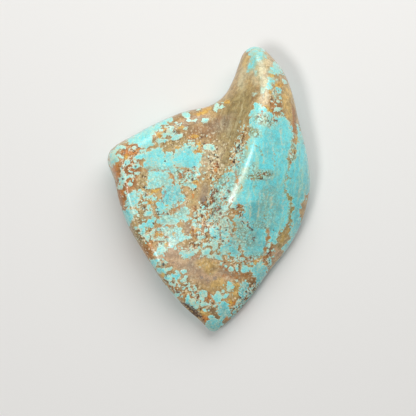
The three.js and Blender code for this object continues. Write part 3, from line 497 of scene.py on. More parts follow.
# Spots, by colour: x, y, half length, half width, turn.
SPOTS = {
    "gold": [(-22, 8.9, 0.9, 0.6, 10), (-13.5, 14.4, 1, 0.7, 60), (-12.2, 15.7, 0.9, 0.4, 50),
        (-8.7, 16.8, 0.9, 0.4, 0), (-7.3, 16.5, 0.7, 0.4, -20), (-0.6, 21.5, 1.3, 0.6, 15),
        (-2, 20.4, 1.6, 0.4, 20), (-8.5, 11.2, 0.4, 0.3, 0), (18.7, 27.9, 1.3, 0.6, 10),
        (15.3, 22, 0.4, 1, 40), (16.2, 21, 0.7, 0.3, -50), (-14.9, -0.6, 1.6, 0.4, 20),
        (-15.7, -3.7, 0.9, 0.5, -20), (-13.6, -12.1, 1.2, 0.5, -10), (-4, -10.8, 1.1, 0.5, 20),
        (4.7, 23.3, 0.8, 0.5, 20), (-11.3, -4.3, 0.3, 0.3, 0), (-11.4, -14.7, 0.6, 0.4, 0),
        (-9.6, -11.8, 0.5, 0.4, 0), (-3.3, 12, 1.2, 0.3, 20), (-2.3, 11.4, 0.7, 0.5, 30),
        (-3, 10.1, 1.4, 0.3, 0), (-3.6, 1.7, 0.7, 0.4, -20), (-4.2, 14, 1.4, 0.3, 15),
        (16, 25.9, 0.6, 0.4, 0), (23.3, 13.4, 0.4, 0.8, 0), (16.6, 30.4, 0.8, 0.3, 0),
        (-12.6, -22.8, 0.5, 0.6, 40), (10, 11.2, 0.3, 0.3, 0), (9, 7.3, 0.6, 0.3, 0),
        (8.6, 0.6, 0.3, 0.7, 10), (12.4, -19.4, 0.5, 0.6, 0), (5.6, -30.2, 0.5, 0.9, 20)],
    "orange": [(-25.1, 5.7, 0.8, 1.2, -10), (-24.6, 3.8, 0.6, 1, -10), (-19.2, 10.4, 0.9, 0.4, 50),
        (-21.2, 9.7, 1.5, 0.5, 0), (-23.6, -0.8, 0.4, 0.8, 20), (-4.3, -1.6, 0.3, 0.7, 10),
        (3.8, -3.9, 0.3, 0.3, 0), (5, 2.2, 0.3, 0.3, 0), (7.3, 2.8, 0.4, 1.2, 10),
        (1.8, 5.6, 0.4, 0.8, -20), (-1.4, -34.4, 1, 0.6, -45), (4.6, -34.4, 0.4, 0.6, 30),
        (0.4, -28.9, 1.2, 0.4, -45), (6.6, -30.2, 0.4, 0.8, 0)],
    "red brown": [(2.4, -5.2, 0.6, 0.4, 20), (0.9, -3, 0.9, 0.25, 10), (2, 6.7, 0.3, 0.9, 10),
        (8.8, -8.8, 0.3, 0.5, 30), (10.9, -10.3, 1, 0.25, -45), (7.6, -4.8, 0.6, 0.25, 30),
        (0.8, -1.6, 0.25, 0.8, -30), (1.6, -0.6, 0.25, 0.7, -30), (4.7, -8.2, 0.3, 0.4, 0),
        (-4.2, 5.9, 0.3, 0.3, 0), (17.6, 18.1, 0.4, 0.3, 0), (-1.2, -4.8, 0.25, 0.2, 0),
        (-0.8, -6.2, 0.3, 0.2, 30), (0.6, -5.6, 0.2, 0.3, 0), (1.4, -6.8, 0.3, 0.2, -20),
        (-2, -6.9, 0.2, 0.3, 0), (-3.6, -5.2, 0.25, 0.3, 0), (1, -8, 0.2, 0.3, 0),
        (-0.4, -8.6, 0.3, 0.2, 20), (-1.2, -10, 0.25, 0.25, 0), (-3.4, -9.6, 0.3, 0.25, 0),
        (-4.4, -10.8, 0.3, 0.3, 0), (4.2, -2.2, 0.3, 0.5, 20), (5.2, -0.4, 0.3, 0.4, 0),
        (-3, -28.6, 0.3, 0.5, 0), (3, -6.4, 0.3, 0.3, 0), (-0.2, -14, 0.3, 0.3, 0),
        (11.9, -13.2, 0.3, 0.4, 0), (15.9, -17.2, 0.3, 0.6, 0), (14.6, 4.4, 0.2, 0.25, 0),
        (6.2, -2.6, 0.2, 0.3, 0), (-8.6, -27.4, 0.5, 0.4, 0)],
    "dark": [(-17.5, 3.5, 0.35, 0.2, 10), (-17.4, 0.6, 0.3, 0.25, 0), (-17.5, -4.9, 0.35, 0.25, 0),
        (-14, -5, 0.25, 0.3, 0), (-12.4, -20, 0.3, 0.25, 0), (1, 9.2, 0.5, 0.15, 0),
        (2.3, 9.3, 0.2, 0.3, 0), (2, 8.6, 0.3, 0.2, 0), (-3.7, 0.1, 0.35, 0.2, 0),
        (-11.8, 7.7, 0.25, 0.25, 0), (7, 9.8, 0.2, 0.6, -30), (6.4, 7.6, 0.2, 0.7, -30),
        (7.8, 11.6, 0.2, 0.6, -40), (0.6, -2.7, 0.3, 0.3, 0), (-13.8, -6.4, 0.25, 0.5, 0),
        (-14.9, -9.3, 0.2, 0.3, 0), (9, -9.2, 0.25, 0.3, 0), (11.3, -10.8, 0.3, 0.2, -45)],
    "grey": [(1.3, -23.6, 0.5, 0.4, 0), (-0.5, -24, 0.3, 0.25, 0), (-2.1, -23.4, 0.6, 0.4, 20),
        (-1, 6.2, 0.5, 0.3, 0), (-9.4, -19.6, 0.3, 0.2, 0), (-1.6, -2.6, 0.4, 1, 0)],
}

# Ground of another make: x, y, half length, half width, turn, amount. Rubble is broken grains of
# every colour, speckled ground has flecks, veined turquoise a net of veins and smooth turquoise
# few webs. A veil clouds the islands' rims, streaks run along the crest, and pale and deep
# change how rich the turquoise is.
ZONES = {
    "rubble": [(7.6, 10.6, 6, 1.6, 74, 1), (3.6, -1.3, 4.4, 1.3, 71, 0.9), (0.8, -1.5, 2.8, 1.2, 75, 1),
        (9.4, -7.8, 3.6, 1, -55, 0.8), (16, -11, 2.2, 0.9, -40, 0.6), (15.2, -18, 3.2, 1.3, 75, 0.9),
        (10.5, -18.6, 4.2, 1, 0, 0.7), (-6, 3.6, 3.4, 1.7, -15, 0.8), (-22.2, 6.2, 4.8, 2.2, 75, 0.7),
        (-20.6, 9.6, 3.2, 1.4, 10, 0.6), (0, -6.4, 4.6, 2.6, -65, 0.95), (2.6, -12, 5, 2.8, -35, 0.35),
        (7.4, -5.6, 2.6, 1.6, 30, 0.5), (-5.5, -27.5, 4.4, 1.6, -30, 0.6), (-11, -24.6, 3, 1.2, -45, 0.55),
        (17.2, 24.6, 2.4, 1.1, 80, 0.6), (15.6, 19, 3.2, 1.7, -20, 0.5), (13.2, 3.6, 3.4, 1.4, 8, 0.45),
        (-10.5, 15.2, 3.4, 1.5, 25, 0.5), (0.6, 6.2, 4, 3.4, 60, 0.35), (-3.6, 12.4, 4.2, 2, 15, 0.4),
        (22.2, 9.6, 2.6, 1.1, 90, 0.6), (-14.6, -11.8, 3.4, 2.4, -20, 0.4), (-16.4, -2.6, 2.8, 1.8, 0, 0.5),
        # The row at 9.6, -29 darkens the lower right rim with brown grains, partly as painted shade.
        (-4.4, -15.4, 4.2, 1.6, 15, 0.5), (-12.4, -5.6, 2.6, 1.8, 20, 0.35), (9.6, -29, 5.4, 1.3, 48, 0.8),
        (0.4, -31.6, 3, 1.4, 0, 0.5)],
    "speckled": [(2.6, 12.6, 5.4, 2.8, 60, 1), (0.6, 5, 4.4, 2.8, 75, 0.8), (-1.4, -8.4, 5, 2.6, -75, 0.9),
        (-3, -13, 4, 2.4, 20, 0.8), (-18.2, -2, 6, 2.2, 80, 0.7), (-19.4, -9.5, 13, 1.7, -64, 0.9),
        (-9, 13.4, 6, 2.2, 15, 0.6), (-22, 5, 6, 2.8, 75, 0.8), (3, -12, 5, 3.6, -40, 0.9),
        (-14.4, -12, 4, 3, 0, 0.7), (1, -19.6, 5, 1.6, -5, 0.5), (-6, -26.6, 5, 2.6, -30, 0.7),
        # The row at 9, -29 flecks the lower right rim dark, partly as painted shade.
        (6, -19.6, 4, 2.2, 0, 0.8), (9, -29, 6, 2.4, 48, 1), (-8, 0, 7, 4, 30, 0.45),
        (8, -15, 4, 4, 0, 0.5)],
    "veined": [(13.4, 3.8, 3.8, 1.3, 5, 1), (11.6, 5.2, 2, 1.2, 60, 0.7), (15, 18.4, 3.6, 1.6, -15, 0.9),
        (12, 15.4, 2.4, 1.3, -30, 0.9), (22, 8.6, 1.6, 1.4, 80, 1), (9, 9.6, 4, 1.2, 75, 0.6),
        (9, -12, 4, 3, -60, 0.6), (13.6, -9.6, 2.6, 1.2, -20, 0.7), (15.6, -4, 6, 3, 90, 0.35),
        (6.6, 1, 6, 1.6, 70, 0.6), (12.6, -18.2, 3, 1.4, 0, 0.6), (-6.4, 3.4, 3.6, 2, -20, 0.9),
        (1.6, -4.8, 4.6, 2.6, -75, 0.6), (-9.6, -6.6, 4.6, 2, 20, 0.45), (-11, -12.4, 4, 2.6, 0, 0.5),
        (2.6, 1, 3.6, 2, 60, 0.7), (-13.6, 5.6, 4, 0.8, 0, 0.5), (-13, 2.2, 3.4, 1.8, 10, 0.35)],
    # The row along the crest, at 9.4, 5, clouds the turquoise partly as painted sheen.
    "veiled": [(13.2, 32, 7.5, 3.6, 80, 1), (16.6, 28, 4, 2.4, 90, 0.7), (9.4, 5, 9, 1.4, 72, 0.5)],
    "streaks": [(7.4, 22, 12, 4.6, 68, 1), (3.4, 14, 6, 2, 60, 0.3), (-1.6, -2, 4.6, 1.8, 85, 0.9),
        (0, -20.8, 5, 2.6, 60, 0.6), (9.6, 31, 6, 2.4, 68, 0.8), (-6, -18.6, 5, 2.2, -20, 0.3)],
    "smooth": [(16, 2, 19, 8.4, 90, 1), (25.4, 0, 18, 4, 90, 1), (-5.6, 8.4, 2.6, 2.2, 0, 0.5),
        (-17.6, 14.6, 5, 1.6, 28, 0.5)],
    # The rows along the crest, at 9.4, 8, 7.4, 0.4, 13.6, 19.4 and 4.4, -7, make the turquoise paler, partly
    # as painted sheen.
    "pale": [(9.4, 8, 11, 1.7, 77, 0.4), (7.4, 0.4, 6.5, 1.3, 66, 0.8), (13.6, 19.4, 4, 2.2, 100, 0.3),
        (4.4, -7, 5, 1.8, 62, 0.6), (11.6, 36.6, 3.4, 1.6, -10, 0.15), (-2, -36, 5, 1.4, -30, 0.5)],
    # The first two rows, at the point and the lower right rim, deepen the turquoise there, partly as painted
    # shade.
    "deep": [(2.5, -34.8, 5, 3.4, 0, 1), (10.4, -27.6, 5, 2.6, 45, 0.8), (13.6, -10.5, 8.5, 5.4, 80, 1),
        (17, -3, 9, 3, 90, 0.6), (25, -4, 8, 2.2, 85, 0.6), (17.6, 12, 5, 3, 90, 0.4)],
}

REACH = 2.5                       # how far from a marking its distance is worked out
FULL_DEPTH = 1.6                  # depth inside an island past which nothing changes
SHAPE_STEPS, LINE_STEPS = 3, 4    # steps from point to point of an island, and of a line
# How far each kind of ground holds on the sides and back, where rubble comes in patches.
HIDDEN_ZONES = {"streaks": 0.5, "smooth": 0.3, "speckled": 0.4, "veined": 0.2, "veiled": 0}
HIDDEN_COLOURS = {"brown": 14, "pink": 15, "ochre": 16, "rust": 17}       # each with its seed


def wander(points, size, seed):
    """Smooth noise of about plus or minus one at each point, with waves of the given size."""
    offset = Vector((seed * 17.3, seed * 5.1, seed * 9.7))
    return np.array([noise.noise(Vector(p) / size + offset) for p in points])


def seen_from_above(points):
    """Where each point appears in the plan that the markings are laid out in."""
    lean_sin, lean_cos = math.sin(VIEW_LEAN), math.cos(VIEW_LEAN)
    rel = points - np.array(VIEW_AIM)
    up = rel[:, 1] * lean_cos + rel[:, 2] * lean_sin
    towards = rel[:, 2] * lean_cos - rel[:, 1] * lean_sin
    scale = VIEW_DISTANCE / (VIEW_DISTANCE - towards)
    return np.stack([rel[:, 0] * scale + VIEW_AIM[0], up * scale + VIEW_AIM[1]], 1)


def depth_inside(plan, curve, closed=True, half_width=0.0):
    """How deep points lie inside a closed shape or a line of some width, below zero outside."""
    low, high = curve.min(0) - REACH, curve.max(0) + REACH
    near = np.all((plan > low) & (plan < high), axis=1)
    depth = np.full(len(plan), -REACH)
    depth[near] = np.maximum(half_width - outside_of(plan[near], curve, closed)[0], -REACH)
    return depth


def spot_ratio(plan, x, y, half_length, half_width, turn):
    """How far out points lie in an ellipse, 0 in its middle and 1 at its rim, and the ratio's slope."""
    turn = math.radians(turn)
    dx, dy = plan[:, 0] - x, plan[:, 1] - y
    along = (dx * math.cos(turn) + dy * math.sin(turn)) / half_length
    across = (dy * math.cos(turn) - dx * math.sin(turn)) / half_width
    ratio = np.hypot(along, across)
    slope = np.hypot(along / half_length, across / half_width) / np.maximum(ratio, 1e-6)
    return ratio, slope


def depth_in_spot(plan, *spot):
    ratio, slope = spot_ratio(plan, *spot)
    return np.maximum((1 - ratio) / np.maximum(slope, 1e-6), -REACH)


def linear(colour):
    """A screen colour as the shader counts it."""
    share = np.array(colour, float) / 255
    return np.where(share <= 0.04045, share / 12.92, ((share + 0.055) / 1.055) ** 2.4)


def painted(ground, name, share):
    """The named colour over the ground, by its share at each point."""
    share = share[:, None]
    return ground * (1 - share) + linear(PALETTE[name]) * share


def lay_islands(plan):
    """Depth inside the turquoise, its richness and how ragged its rim is, at each plan point."""
    depth, richness, alone = np.full(len(plan), -REACH), np.zeros(len(plan)), np.zeros(len(plan))

    def take(inside, rich):
        nonlocal depth, richness
        richness = np.where(inside > depth, rich, richness)
        depth = np.maximum(inside, depth)

    for rich, shape in ISLANDS.values():
        take(depth_inside(plan, spline(shape, SHAPE_STEPS)), rich)
    for *spot, rich in NODULES:
        # A nodule that stands alone in the matrix keeps its round rim.
        inside = depth_in_spot(plan, *spot)
        alone = np.maximum(alone, np.where(depth < -0.4, smooth_step(inside, -0.8, -0.1), 0))
        take(inside, rich)
    for *spot, thickness in SCATTERED:
        # Too shallow for solid turquoise, so only the material's nodules come through.
        take(np.minimum(depth_in_spot(plan, *spot) * 0.6, thickness), 0.2)
    for *spot, amount in BROKEN:
        share = amount * smooth_step(depth_in_spot(plan, *spot), -0.6, 0.8)
        depth = np.minimum(depth, FULL_DEPTH - share * (FULL_DEPTH - 0.05))
    return depth, richness, 1 - 0.6 * alone


def lay_ground(plan):
    """The matrix's ground colour at each plan point."""
    ground = np.tile(linear(PALETTE["tan"]), (len(plan), 1))
    for *spot, colour, strength in MATRIX:
        ground = painted(ground, colour, strength * (1 - smooth_step(spot_ratio(plan, *spot)[0], 0.5, 1.25)))
    return ground


def hidden_markings(points):
    """Depth, richness and ground colour for the sides and back, which follow the stone's grain."""
    coarse, finer = wander(points, 8.0, 11), wander(points, 3.5, 12)
    depth = np.clip((coarse + 0.5 * finer) * 4.5 + 0.5, -REACH, FULL_DEPTH)
    richness = np.clip(0.55 + 0.5 * wander(points, 6.0, 13), 0, 1)
    ground = np.tile(linear(PALETTE["tan"]), (len(points), 1))
    for colour, seed in HIDDEN_COLOURS.items():
        ground = painted(ground, colour, 0.8 * smooth_step(wander(points, 5.0, seed), 0.0, 0.45))
    return depth, richness, ground


def lay_marks(plan):
    """How deep each plan point lies in the lines and spots of each colour."""
    marks = {}
    for colour, lines in LINES.items():
        depths = [depth_inside(plan, spline(path, LINE_STEPS, False), False, width) for width, path in lines]
        marks[colour] = np.max(depths, axis=0)
    for colour, spots in SPOTS.items():
        marks[colour] = np.max([depth_in_spot(plan, *spot) for spot in spots], axis=0)
    return marks


def lay_zones(plan):
    """How far each kind of ground holds at each plan point, from 0 to 1."""
    zones = {}
    for kind, spots in ZONES.items():
        shares = [amount * (1 - smooth_step(spot_ratio(plan, *spot)[0], 0.6, 1.3)) for *spot, amount in spots]
        zones[kind] = np.max(shares, axis=0)
    return zones


def markings(points, normals):
    """Everything that the material reads, as one array per name."""
    # Bends of two sizes take the smoothness off the listed shapes.
    small_bend = np.stack([wander(points, 1.6, seed) for seed in (1, 2)], 1)
    large_bend = np.stack([wander(points, 4.0, seed) for seed in (3, 4)], 1)
    plan = seen_from_above(points)
    depth, richness, ragged = lay_islands(plan + 0.25 * small_bend)
    zones = lay_zones(plan + 0.6 * large_bend)
    richness = richness + 0.35 * zones.pop("deep") - 0.6 * zones.pop("pale")
    ground = lay_ground(plan + 1.1 * large_bend + 0.6 * small_bend)
    hidden_depth, hidden_richness, hidden_ground = hidden_markings(points)
    hidden_rubble = 0.35 * smooth_step(wander(points, 6.0, 18), 0.0, 0.4)
    # What the view shows comes from the listed markings, and gives way to the rest where the wall turns down.
    shown = smooth_step(normals[:, 2], -0.1, 0.32)
    layers = {
        "island": depth * shown + hidden_depth * (1 - shown),
        "richness": richness * shown + hidden_richness * (1 - shown),
        "ground": ground * shown[:, None] + hidden_ground * (1 - shown)[:, None],
        "ragged": ragged * shown + 1 - shown,
        "chip": 0.2 - outside_chip(*points.T),
    }
    for colour, inside in lay_marks(plan + 0.2 * small_bend).items():
        layers[colour] = inside - REACH * (1 - shown)
    for kind, share in zones.items():
        layers[kind] = share * shown + HIDDEN_ZONES.get(kind, hidden_rubble) * (1 - shown)
    return layers


def relief(points, layers):
    """How far the surface stands above the settled one: pits in the dark spots, hollows in the matrix."""
    pits = np.maximum(layers["red brown"], layers["dark"])
    depth = 0.16 * smooth_step(pits, -0.1, 0.35) + 0.05 * smooth_step(layers["rust"], -0.1, 0.25)
    depth = depth + 0.05 * (1 - smooth_step(layers["island"], -0.3, 0.3))
    rough = 0.10 * np.abs(wander(points, 0.9, 19)) + 0.10 * np.abs(wander(points, 0.5, 20))
    broken = 0.25 * wander(points, 1.2, 21) + 0.15 * wander(points, 0.6, 22)
    return -(depth + layers["rubble"] * rough + smooth_step(layers["chip"], 0.0, 0.3) * broken)


def put_in_scene(name, data):
    made = bpy.data.objects.new(name, data)
    bpy.context.scene.collection.objects.link(made)
    return made


stone_mesh = fine_net()
points, normals = settle(plan_points(stone_mesh))
layers = markings(points, normals)
points = points + normals * relief(points, layers)[:, None]
stone_mesh.vertices.foreach_set("co", ((points - MIDDLE) * MM).ravel())
stone_mesh.update()
stone_mesh.shade_smooth()
for name, values in layers.items():
    if values.ndim == 2:
        layer = stone_mesh.attributes.new(name, "FLOAT_COLOR", "POINT")
        layer.data.foreach_set("color", np.c_[values, np.ones(len(values))].ravel())
    else:
        layer = stone_mesh.attributes.new(name, "FLOAT", "POINT")
        layer.data.foreach_set("value", values)
stone = put_in_scene("turquoise_surface", stone_mesh)
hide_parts(NODE)
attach(stone, "root")

# How many of the material's cells fit in a millimetre.
PER_MM = {"nodule": 0.85, "grain": 1.9, "vein": 1.1, "fleck": 2, "rubble": 2.1}
# Ramps of colour: turquoise from the rim of an island to its heart, yellow ore, the grains of
# rubble, and the chip's broken ground, dark brown to near black with painted shade in its hollow.
TURQUOISE = [(0, (194, 234, 214)), (0.15, (142, 232, 226)), (0.42, (104, 228, 236)),
             (0.75, (100, 207, 212)), (1, (80, 188, 196))]
ORE = [(0.1, (158, 94, 28)), (0.5, (204, 148, 44)), (0.9, (230, 196, 100))]
RUBBLE = [(0, (92, 58, 30)), (0.28, (178, 114, 60)), (0.5, (214, 206, 170)), (0.68, (196, 236, 222))]
CHIP_GROUND_AND_SHADE = [(0.3, (44, 27, 15)), (0.7, (92, 58, 30))]
# How strongly the marks colour the stone, the later ones over the earlier.
STRENGTHS = {"cream": 0.5, "olive": 0.7, "rust": 0.65, "gold": 0.85, "orange": 0.8, "grey": 0.6,
             "red brown": 0.9, "dark": 0.9}
COAT_ROUGHNESS = 0.18
BUMP_STRENGTH = 0.8


class Graph:
    """A material's nodes, added and linked in few words. Sockets and plain values both go in."""

    def __init__(self, name):
        self.material = bpy.data.materials.new(name)
        self.material.use_nodes = True
        self.tree = self.material.node_tree

    def put(self, socket, value):
        if isinstance(value, bpy.types.NodeSocket):
            self.tree.links.new(value, socket)
        else:
            socket.default_value = value

    def made(self, looks):
        """The material, with what its shader shows."""
        for name, value in looks.items():
            self.put(self.tree.nodes["Principled BSDF"].inputs[name], value)
        return self.material

    def add(self, kind, inputs, **settings):
        node = self.tree.nodes.new("ShaderNode" + kind)
        for name, value in settings.items():
            setattr(node, name, value)
        for name, value in inputs.items():
            self.put(node.inputs[name], value)
        return node

    def math(self, operation, *values):
        return self.add("Math", dict(enumerate(values)), operation=operation).outputs[0]

    def larger(self, first, second):
        return self.math("MAXIMUM", first, second)

    def total(self, *values):
        return functools.reduce(lambda so_far, value: self.math("ADD", so_far, value), values)

    def product(self, *values):
        return functools.reduce(lambda so_far, value: self.math("MULTIPLY", so_far, value), values)

    def scaled(self, value, factor, offset=0.0):
        return self.math("MULTIPLY_ADD", value, factor, offset)

    def vector(self, operation, *values):
        return self.add("VectorMath", dict(enumerate(values)), operation=operation).outputs[0]

    def step(self, value, low, high, start=0.0, end=1.0):
        """A smooth step of the value from start to end."""
        inputs = {"Value": value, "From Min": low, "From Max": high, "To Min": start, "To Max": end}
        return self.add("MapRange", inputs, interpolation_type="SMOOTHSTEP").outputs["Result"]

    def mix(self, share, first, second, **settings):
        return self.add("Mix", {0: share, 6: first, 7: second}, data_type="RGBA", **settings).outputs[2]

    def tint(self, colour, name, *shares):
        """The named colour over another, by the product of the shares."""
        return self.mix(self.product(*shares), colour, rgba(name))

    def brighten(self, colour, factor):
        grey = self.add("CombineColor", {0: factor, 1: factor, 2: factor}).outputs[0]
        return self.mix(1.0, colour, grey, blend_type="MULTIPLY")

    def noise(self, where, per_mm, detail=2.0, roughness=0.5, output="Fac"):
        inputs = {"Vector": where, "Scale": per_mm, "Detail": detail, "Roughness": roughness}
        return self.add("TexNoise", inputs).outputs[output]

    def bend(self, where, by, per_mm, detail, far):
        """Places pushed about by noise."""
        push = self.vector("SUBTRACT", self.noise(by, per_mm, detail, output="Color"), (0.5, 0.5, 0.5))
        return self.vector("ADD", where, self.vector("MULTIPLY", push, (far, far, far)))

    def drawn_out(self, where, turn, scale):
        """Places drawn together along one heading, so that noise there comes out as streaks."""
        inputs = {"Vector": where, "Rotation": (0, 0, math.radians(turn)), "Scale": scale}
        return self.add("Mapping", inputs, vector_type="TEXTURE").outputs[0]

    def cells(self, where, name):
        return self.add("TexVoronoi", {"Vector": where, "Scale": PER_MM[name]}, feature="F1")

    def seams(self, where, name, low, high, strength=1.0):
        """Lines between cells, from full strength at low to none at high from their edge."""
        inputs = {"Vector": where, "Scale": PER_MM[name]}
        edge = self.add("TexVoronoi", inputs, feature="DISTANCE_TO_EDGE").outputs["Distance"]
        return self.step(edge, low, high, strength, 0.0)

    def luck(self, cells, which=0):
        """One of each cell's random numbers from 0 to 1."""
        return self.add("SeparateColor", {0: cells.outputs["Color"]}).outputs[which]

    def attribute(self, name, output="Fac"):
        return self.add("Attribute", {}, attribute_name=name).outputs[output]

    def ramp(self, value, stops, mode="LINEAR"):
        node = self.add("ValToRGB", {"Fac": value})
        node.color_ramp.interpolation = mode
        points = node.color_ramp.elements
        while len(points) < len(stops):
            points.new(0.5)
        for point, (place, colour) in zip(points, stops):
            point.position = place
            point.color = (*linear(colour), 1)
        return node.outputs["Color"]


def rgba(name):
    return (*linear(PALETTE[name]), 1)


def stone_material():
    g = Graph("turquoise")
    mm = g.vector("MULTIPLY", g.add("TexCoord", {}).outputs["Object"], (1 / MM, 1 / MM, 1 / MM))
    bent = g.bend(mm, mm, 0.5, 3, 1.6)
    curled = g.bend(bent, mm, 1.9, 2, 0.6)
    rubble, smooth, speckled, streaky, veiled = (
        g.attribute(name) for name in ("rubble", "smooth", "speckled", "streaks", "veiled"))

    # Nodules: two sizes of round cells, each with its own chance of being turquoise.
    nodule, grain = g.cells(curled, "nodule"), g.cells(curled, "grain")
    nodule_luck, grain_luck = g.luck(nodule), g.luck(grain)
    unevenness = g.total(
        g.scaled(nodule.outputs["Distance"], -1.1, 0.58), g.scaled(grain.outputs["Distance"], -0.5, 0.26),
        g.scaled(nodule_luck, 0.6, -0.26), g.scaled(grain_luck, 0.3, -0.13))
    depth = g.math("MULTIPLY_ADD", unevenness, g.attribute("ragged"), g.attribute("island"))
    rim = g.scaled(veiled, 0.5, 0.08)
    is_turquoise = g.step(depth, g.product(rim, -1.0), rim)

    # Turquoise, pale at the rim of each island and deeper and bluer inside.
    cloud = g.noise(bent, 0.28, 4, 0.6)
    mottle = g.noise(curled, 1.3, 4, 0.65)
    calm = g.scaled(smooth, -0.45, 1.0)
    tone = g.total(
        g.scaled(cloud, 0.7, -0.35), g.attribute("richness"), g.product(calm, g.scaled(mottle, 1.5, -0.75)),
        g.scaled(nodule_luck, 0.3, -0.15), g.scaled(grain_luck, 0.2, -0.1))
    blue = g.ramp(g.product(tone, g.step(depth, -0.05, 0.7)), TURQUOISE)
    seams = g.larger(g.seams(curled, "nodule", 0.02, 0.16), g.seams(curled, "grain", 0.02, 0.20, 0.8))
    web = g.product(seams, g.scaled(smooth, -0.5, 0.62), g.step(cloud, 0.35, 0.65, 0.25, 1.0))
    blue = g.tint(blue, "web", web)
    veined = g.product(g.attribute("veined"), g.step(mottle, 0.34, 0.50))
    blue = g.tint(blue, "round the veins", veined, 0.6)
    blue = g.tint(blue, "vein", g.seams(curled, "vein", 0.05, 0.22), veined)
    blue = g.tint(blue, "frost", g.step(g.noise(mm, 2.6, 3, 0.65), 0.54, 0.66, 0.0, 0.35), calm)
    streak = g.noise(g.drawn_out(bent, -3, (0.7, 8.0, 2.0)), 1.0, 4, 0.6)
    blue = g.tint(blue, "streak", g.step(streak, 0.50, 0.64, 0.0, 0.6), smooth)
    clouding = g.noise(bent, 0.8, 4, 0.6)
    blue = g.tint(blue, "clouding", g.step(clouding, 0.52, 0.66, 0.0, 0.35), smooth)
    blue = g.tint(blue, "veil", g.step(clouding, 0.44, 0.58, 0.0, 0.7), veiled)
    blue = g.brighten(blue, g.step(streak, 0.3, 0.5, 0.9, 1.0))

    # Matrix: its ground colour, mottled, streaked along the crest, and darker round the islands.
    patchy = g.noise(curled, 0.7, 5, 0.65)
    ground = g.brighten(g.attribute("ground", "Color"), g.step(patchy, 0.40, 0.60, 0.78, 1.14))
    fibre = g.noise(g.drawn_out(bent, -18, (0.8, 9.0, 1.6)), 1.0, 5, 0.7)
    ground = g.tint(ground, "pale fibre", g.step(fibre, 0.52, 0.66, 0.0, 0.7), streaky)
    ground = g.tint(ground, "dark fibre", g.step(fibre, 0.48, 0.36, 0.0, 0.6), streaky)
    ground = g.tint(ground, "rust", g.step(g.noise(bent, 0.9, 4, 0.6), 0.55, 0.67, 0.0, 0.16))
    ground = g.tint(ground, "rind", g.step(depth, -0.32, -0.10), g.scaled(g.attribute("ragged"), -0.6, 0.86))
    colour = g.mix(is_turquoise, ground, blue)

    # Flecks of cream and brown, thickest in the matrix.
    graininess = g.product(g.scaled(g.larger(rubble, speckled), 0.72, 0.28), g.scaled(streaky, -0.7, 1.0))
    flecks = g.cells(curled, "fleck")
    fleck = g.product(g.step(flecks.outputs["Distance"], 0.62, 0.42), graininess,
                      g.scaled(is_turquoise, -0.55, 1.0))
    colour = g.tint(colour, "pale fleck", fleck, g.step(g.luck(flecks), 0.68, 0.72, 0.0, 0.9))
    colour = g.tint(colour, "dark fleck", fleck, g.step(g.luck(flecks), 0.30, 0.26, 0.0, 0.85))

    # Rubble: grains of dark brown, rust, cream and pale turquoise.
    grains = g.cells(g.vector("MULTIPLY", curled, (1.0, 0.8, 1.0)), "rubble")
    is_grain = g.step(g.math("SUBTRACT", g.product(rubble, 0.62), g.luck(grains, 1)), -0.03, 0.03)
    body = g.step(grains.outputs["Distance"], 0.68, 0.5)
    colour = g.mix(g.product(is_grain, body, 0.85), colour, g.ramp(g.luck(grains), RUBBLE, "CONSTANT"))

    # The marks, the later ones over the earlier, and the chip.
    ragged = g.total(g.scaled(g.noise(mm, 1.8, 4, 0.65), 2.6, -1.3), g.scaled(grain_luck, 0.4, -0.2))
    ore = g.ramp(g.total(g.scaled(grain_luck, 0.6), g.scaled(mottle, 0.8, -0.2)), ORE)
    marks = {}
    for name, strength in STRENGTHS.items():
        marks[name] = g.step(g.total(g.attribute(name), ragged), -0.11, 0.13, 0.0, strength)
        if name == "cream":
            marks[name] = g.product(marks[name], g.step(streak, 0.4, 0.6, 0.3, 1.0))
        colour = g.mix(marks[name], colour, ore if name == "gold" else rgba(name))
    # The chip is dark brown to near black: its broken ground, and painted shade in its hollow.
    chip = g.step(g.total(g.attribute("chip"), g.scaled(ragged, 0.8)), -0.05, 0.2, 0.0, 0.95)
    colour = g.mix(chip, colour, g.ramp(patchy, CHIP_GROUND_AND_SHADE))
    colour = g.brighten(colour, g.step(g.noise(mm, 5.0, 2, 0.6), 0.25, 0.75, 0.84, 1.12))

    # Turquoise takes the best polish, and rubble, speckled ground and hollows the least.
    hollow = g.larger(g.larger(marks["red brown"], marks["dark"]), chip)
    dull = g.larger(rubble, g.scaled(speckled, 0.8))
    roughness = g.total(g.scaled(is_turquoise, -0.12, 0.44), g.product(g.larger(hollow, dull), 0.3),
                        g.scaled(mottle, 0.2, -0.1))
    height = g.total(g.product(is_turquoise, 0.03), g.product(g.noise(mm, 2.3, 3, 0.7), 0.04),
                     g.product(web, -0.02))
    bump = g.add("Bump", {"Height": height, "Distance": MM, "Strength": BUMP_STRENGTH})
    return g.made({"Base Color": colour, "Roughness": roughness, "Coat Weight": g.scaled(dull, -0.5, 0.55),
                   "Coat Roughness": COAT_ROUGHNESS, "Normal": bump.outputs["Normal"]})


stone_mesh.materials.append(stone_material())

# The floor, the lights and the camera, in metres and watts.
floor_mesh = bpy.data.meshes.new("floor")
floor_mesh.from_pydata([(-2, -2, 0), (2, -2, 0), (2, 2, 0), (-2, 2, 0)], [], [(0, 1, 2, 3)])
floor = put_in_scene("floor", floor_mesh)
floor_mesh.materials.append(Graph("floor").made({"Base Color": (0.72, 0.71, 0.69, 1), "Roughness": 0.8}))


def soft_light(name, way, distance, size, watts, turn=0.0):
    """A soft light of a width and height, standing off in a direction and facing the stone."""
    data = bpy.data.lights.new(name, "AREA")
    data.shape = "ELLIPSE"
    data.size, data.size_y = size
    data.energy = watts
    lamp = put_in_scene(name, data)
    lamp.location = Vector(way).normalized() * distance
    facing = Vector(way).to_track_quat("Z", "Y") @ Quaternion((0, 0, 1), math.radians(turn))
    lamp.rotation_euler = facing.to_euler()


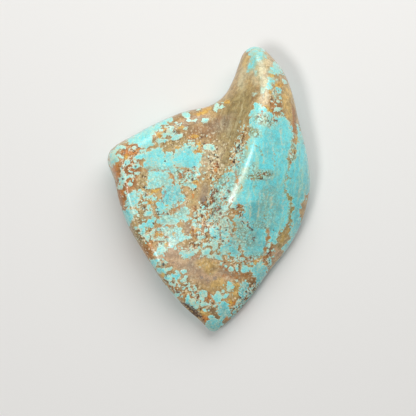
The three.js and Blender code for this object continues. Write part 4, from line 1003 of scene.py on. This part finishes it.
soft_light("key", (0.2, 0.85, 1.0), 0.42, (0.46, 0.46), 1.8)
soft_light("strip", (-0.41, -0.27, 1.0), 1.0, (0.2, 0.38), 4.0, turn=86)    # its long side along the crest

world = bpy.data.worlds.new("studio")
world.use_nodes = True
surroundings = world.node_tree.nodes["Background"].inputs
surroundings["Color"].default_value = (1, 1, 1, 1)
surroundings["Strength"].default_value = 0.17
bpy.context.scene.world = world
bpy.context.scene.view_settings.view_transform = "Standard"

camera_data = bpy.data.cameras.new("camera")
camera_data.sensor_width = SENSOR
camera_data.lens = SENSOR * VIEW_DISTANCE / VIEW_WIDTH
camera_data.clip_start = 0.01
camera = put_in_scene("camera", camera_data)
back = Vector((0, -math.sin(VIEW_LEAN), math.cos(VIEW_LEAN)))
camera.location = (Vector(VIEW_AIM) - Vector((*PLAN_MIDDLE, 0)) + back * VIEW_DISTANCE) * MM
camera.rotation_euler = (VIEW_LEAN, 0, 0)
bpy.context.scene.camera = camera
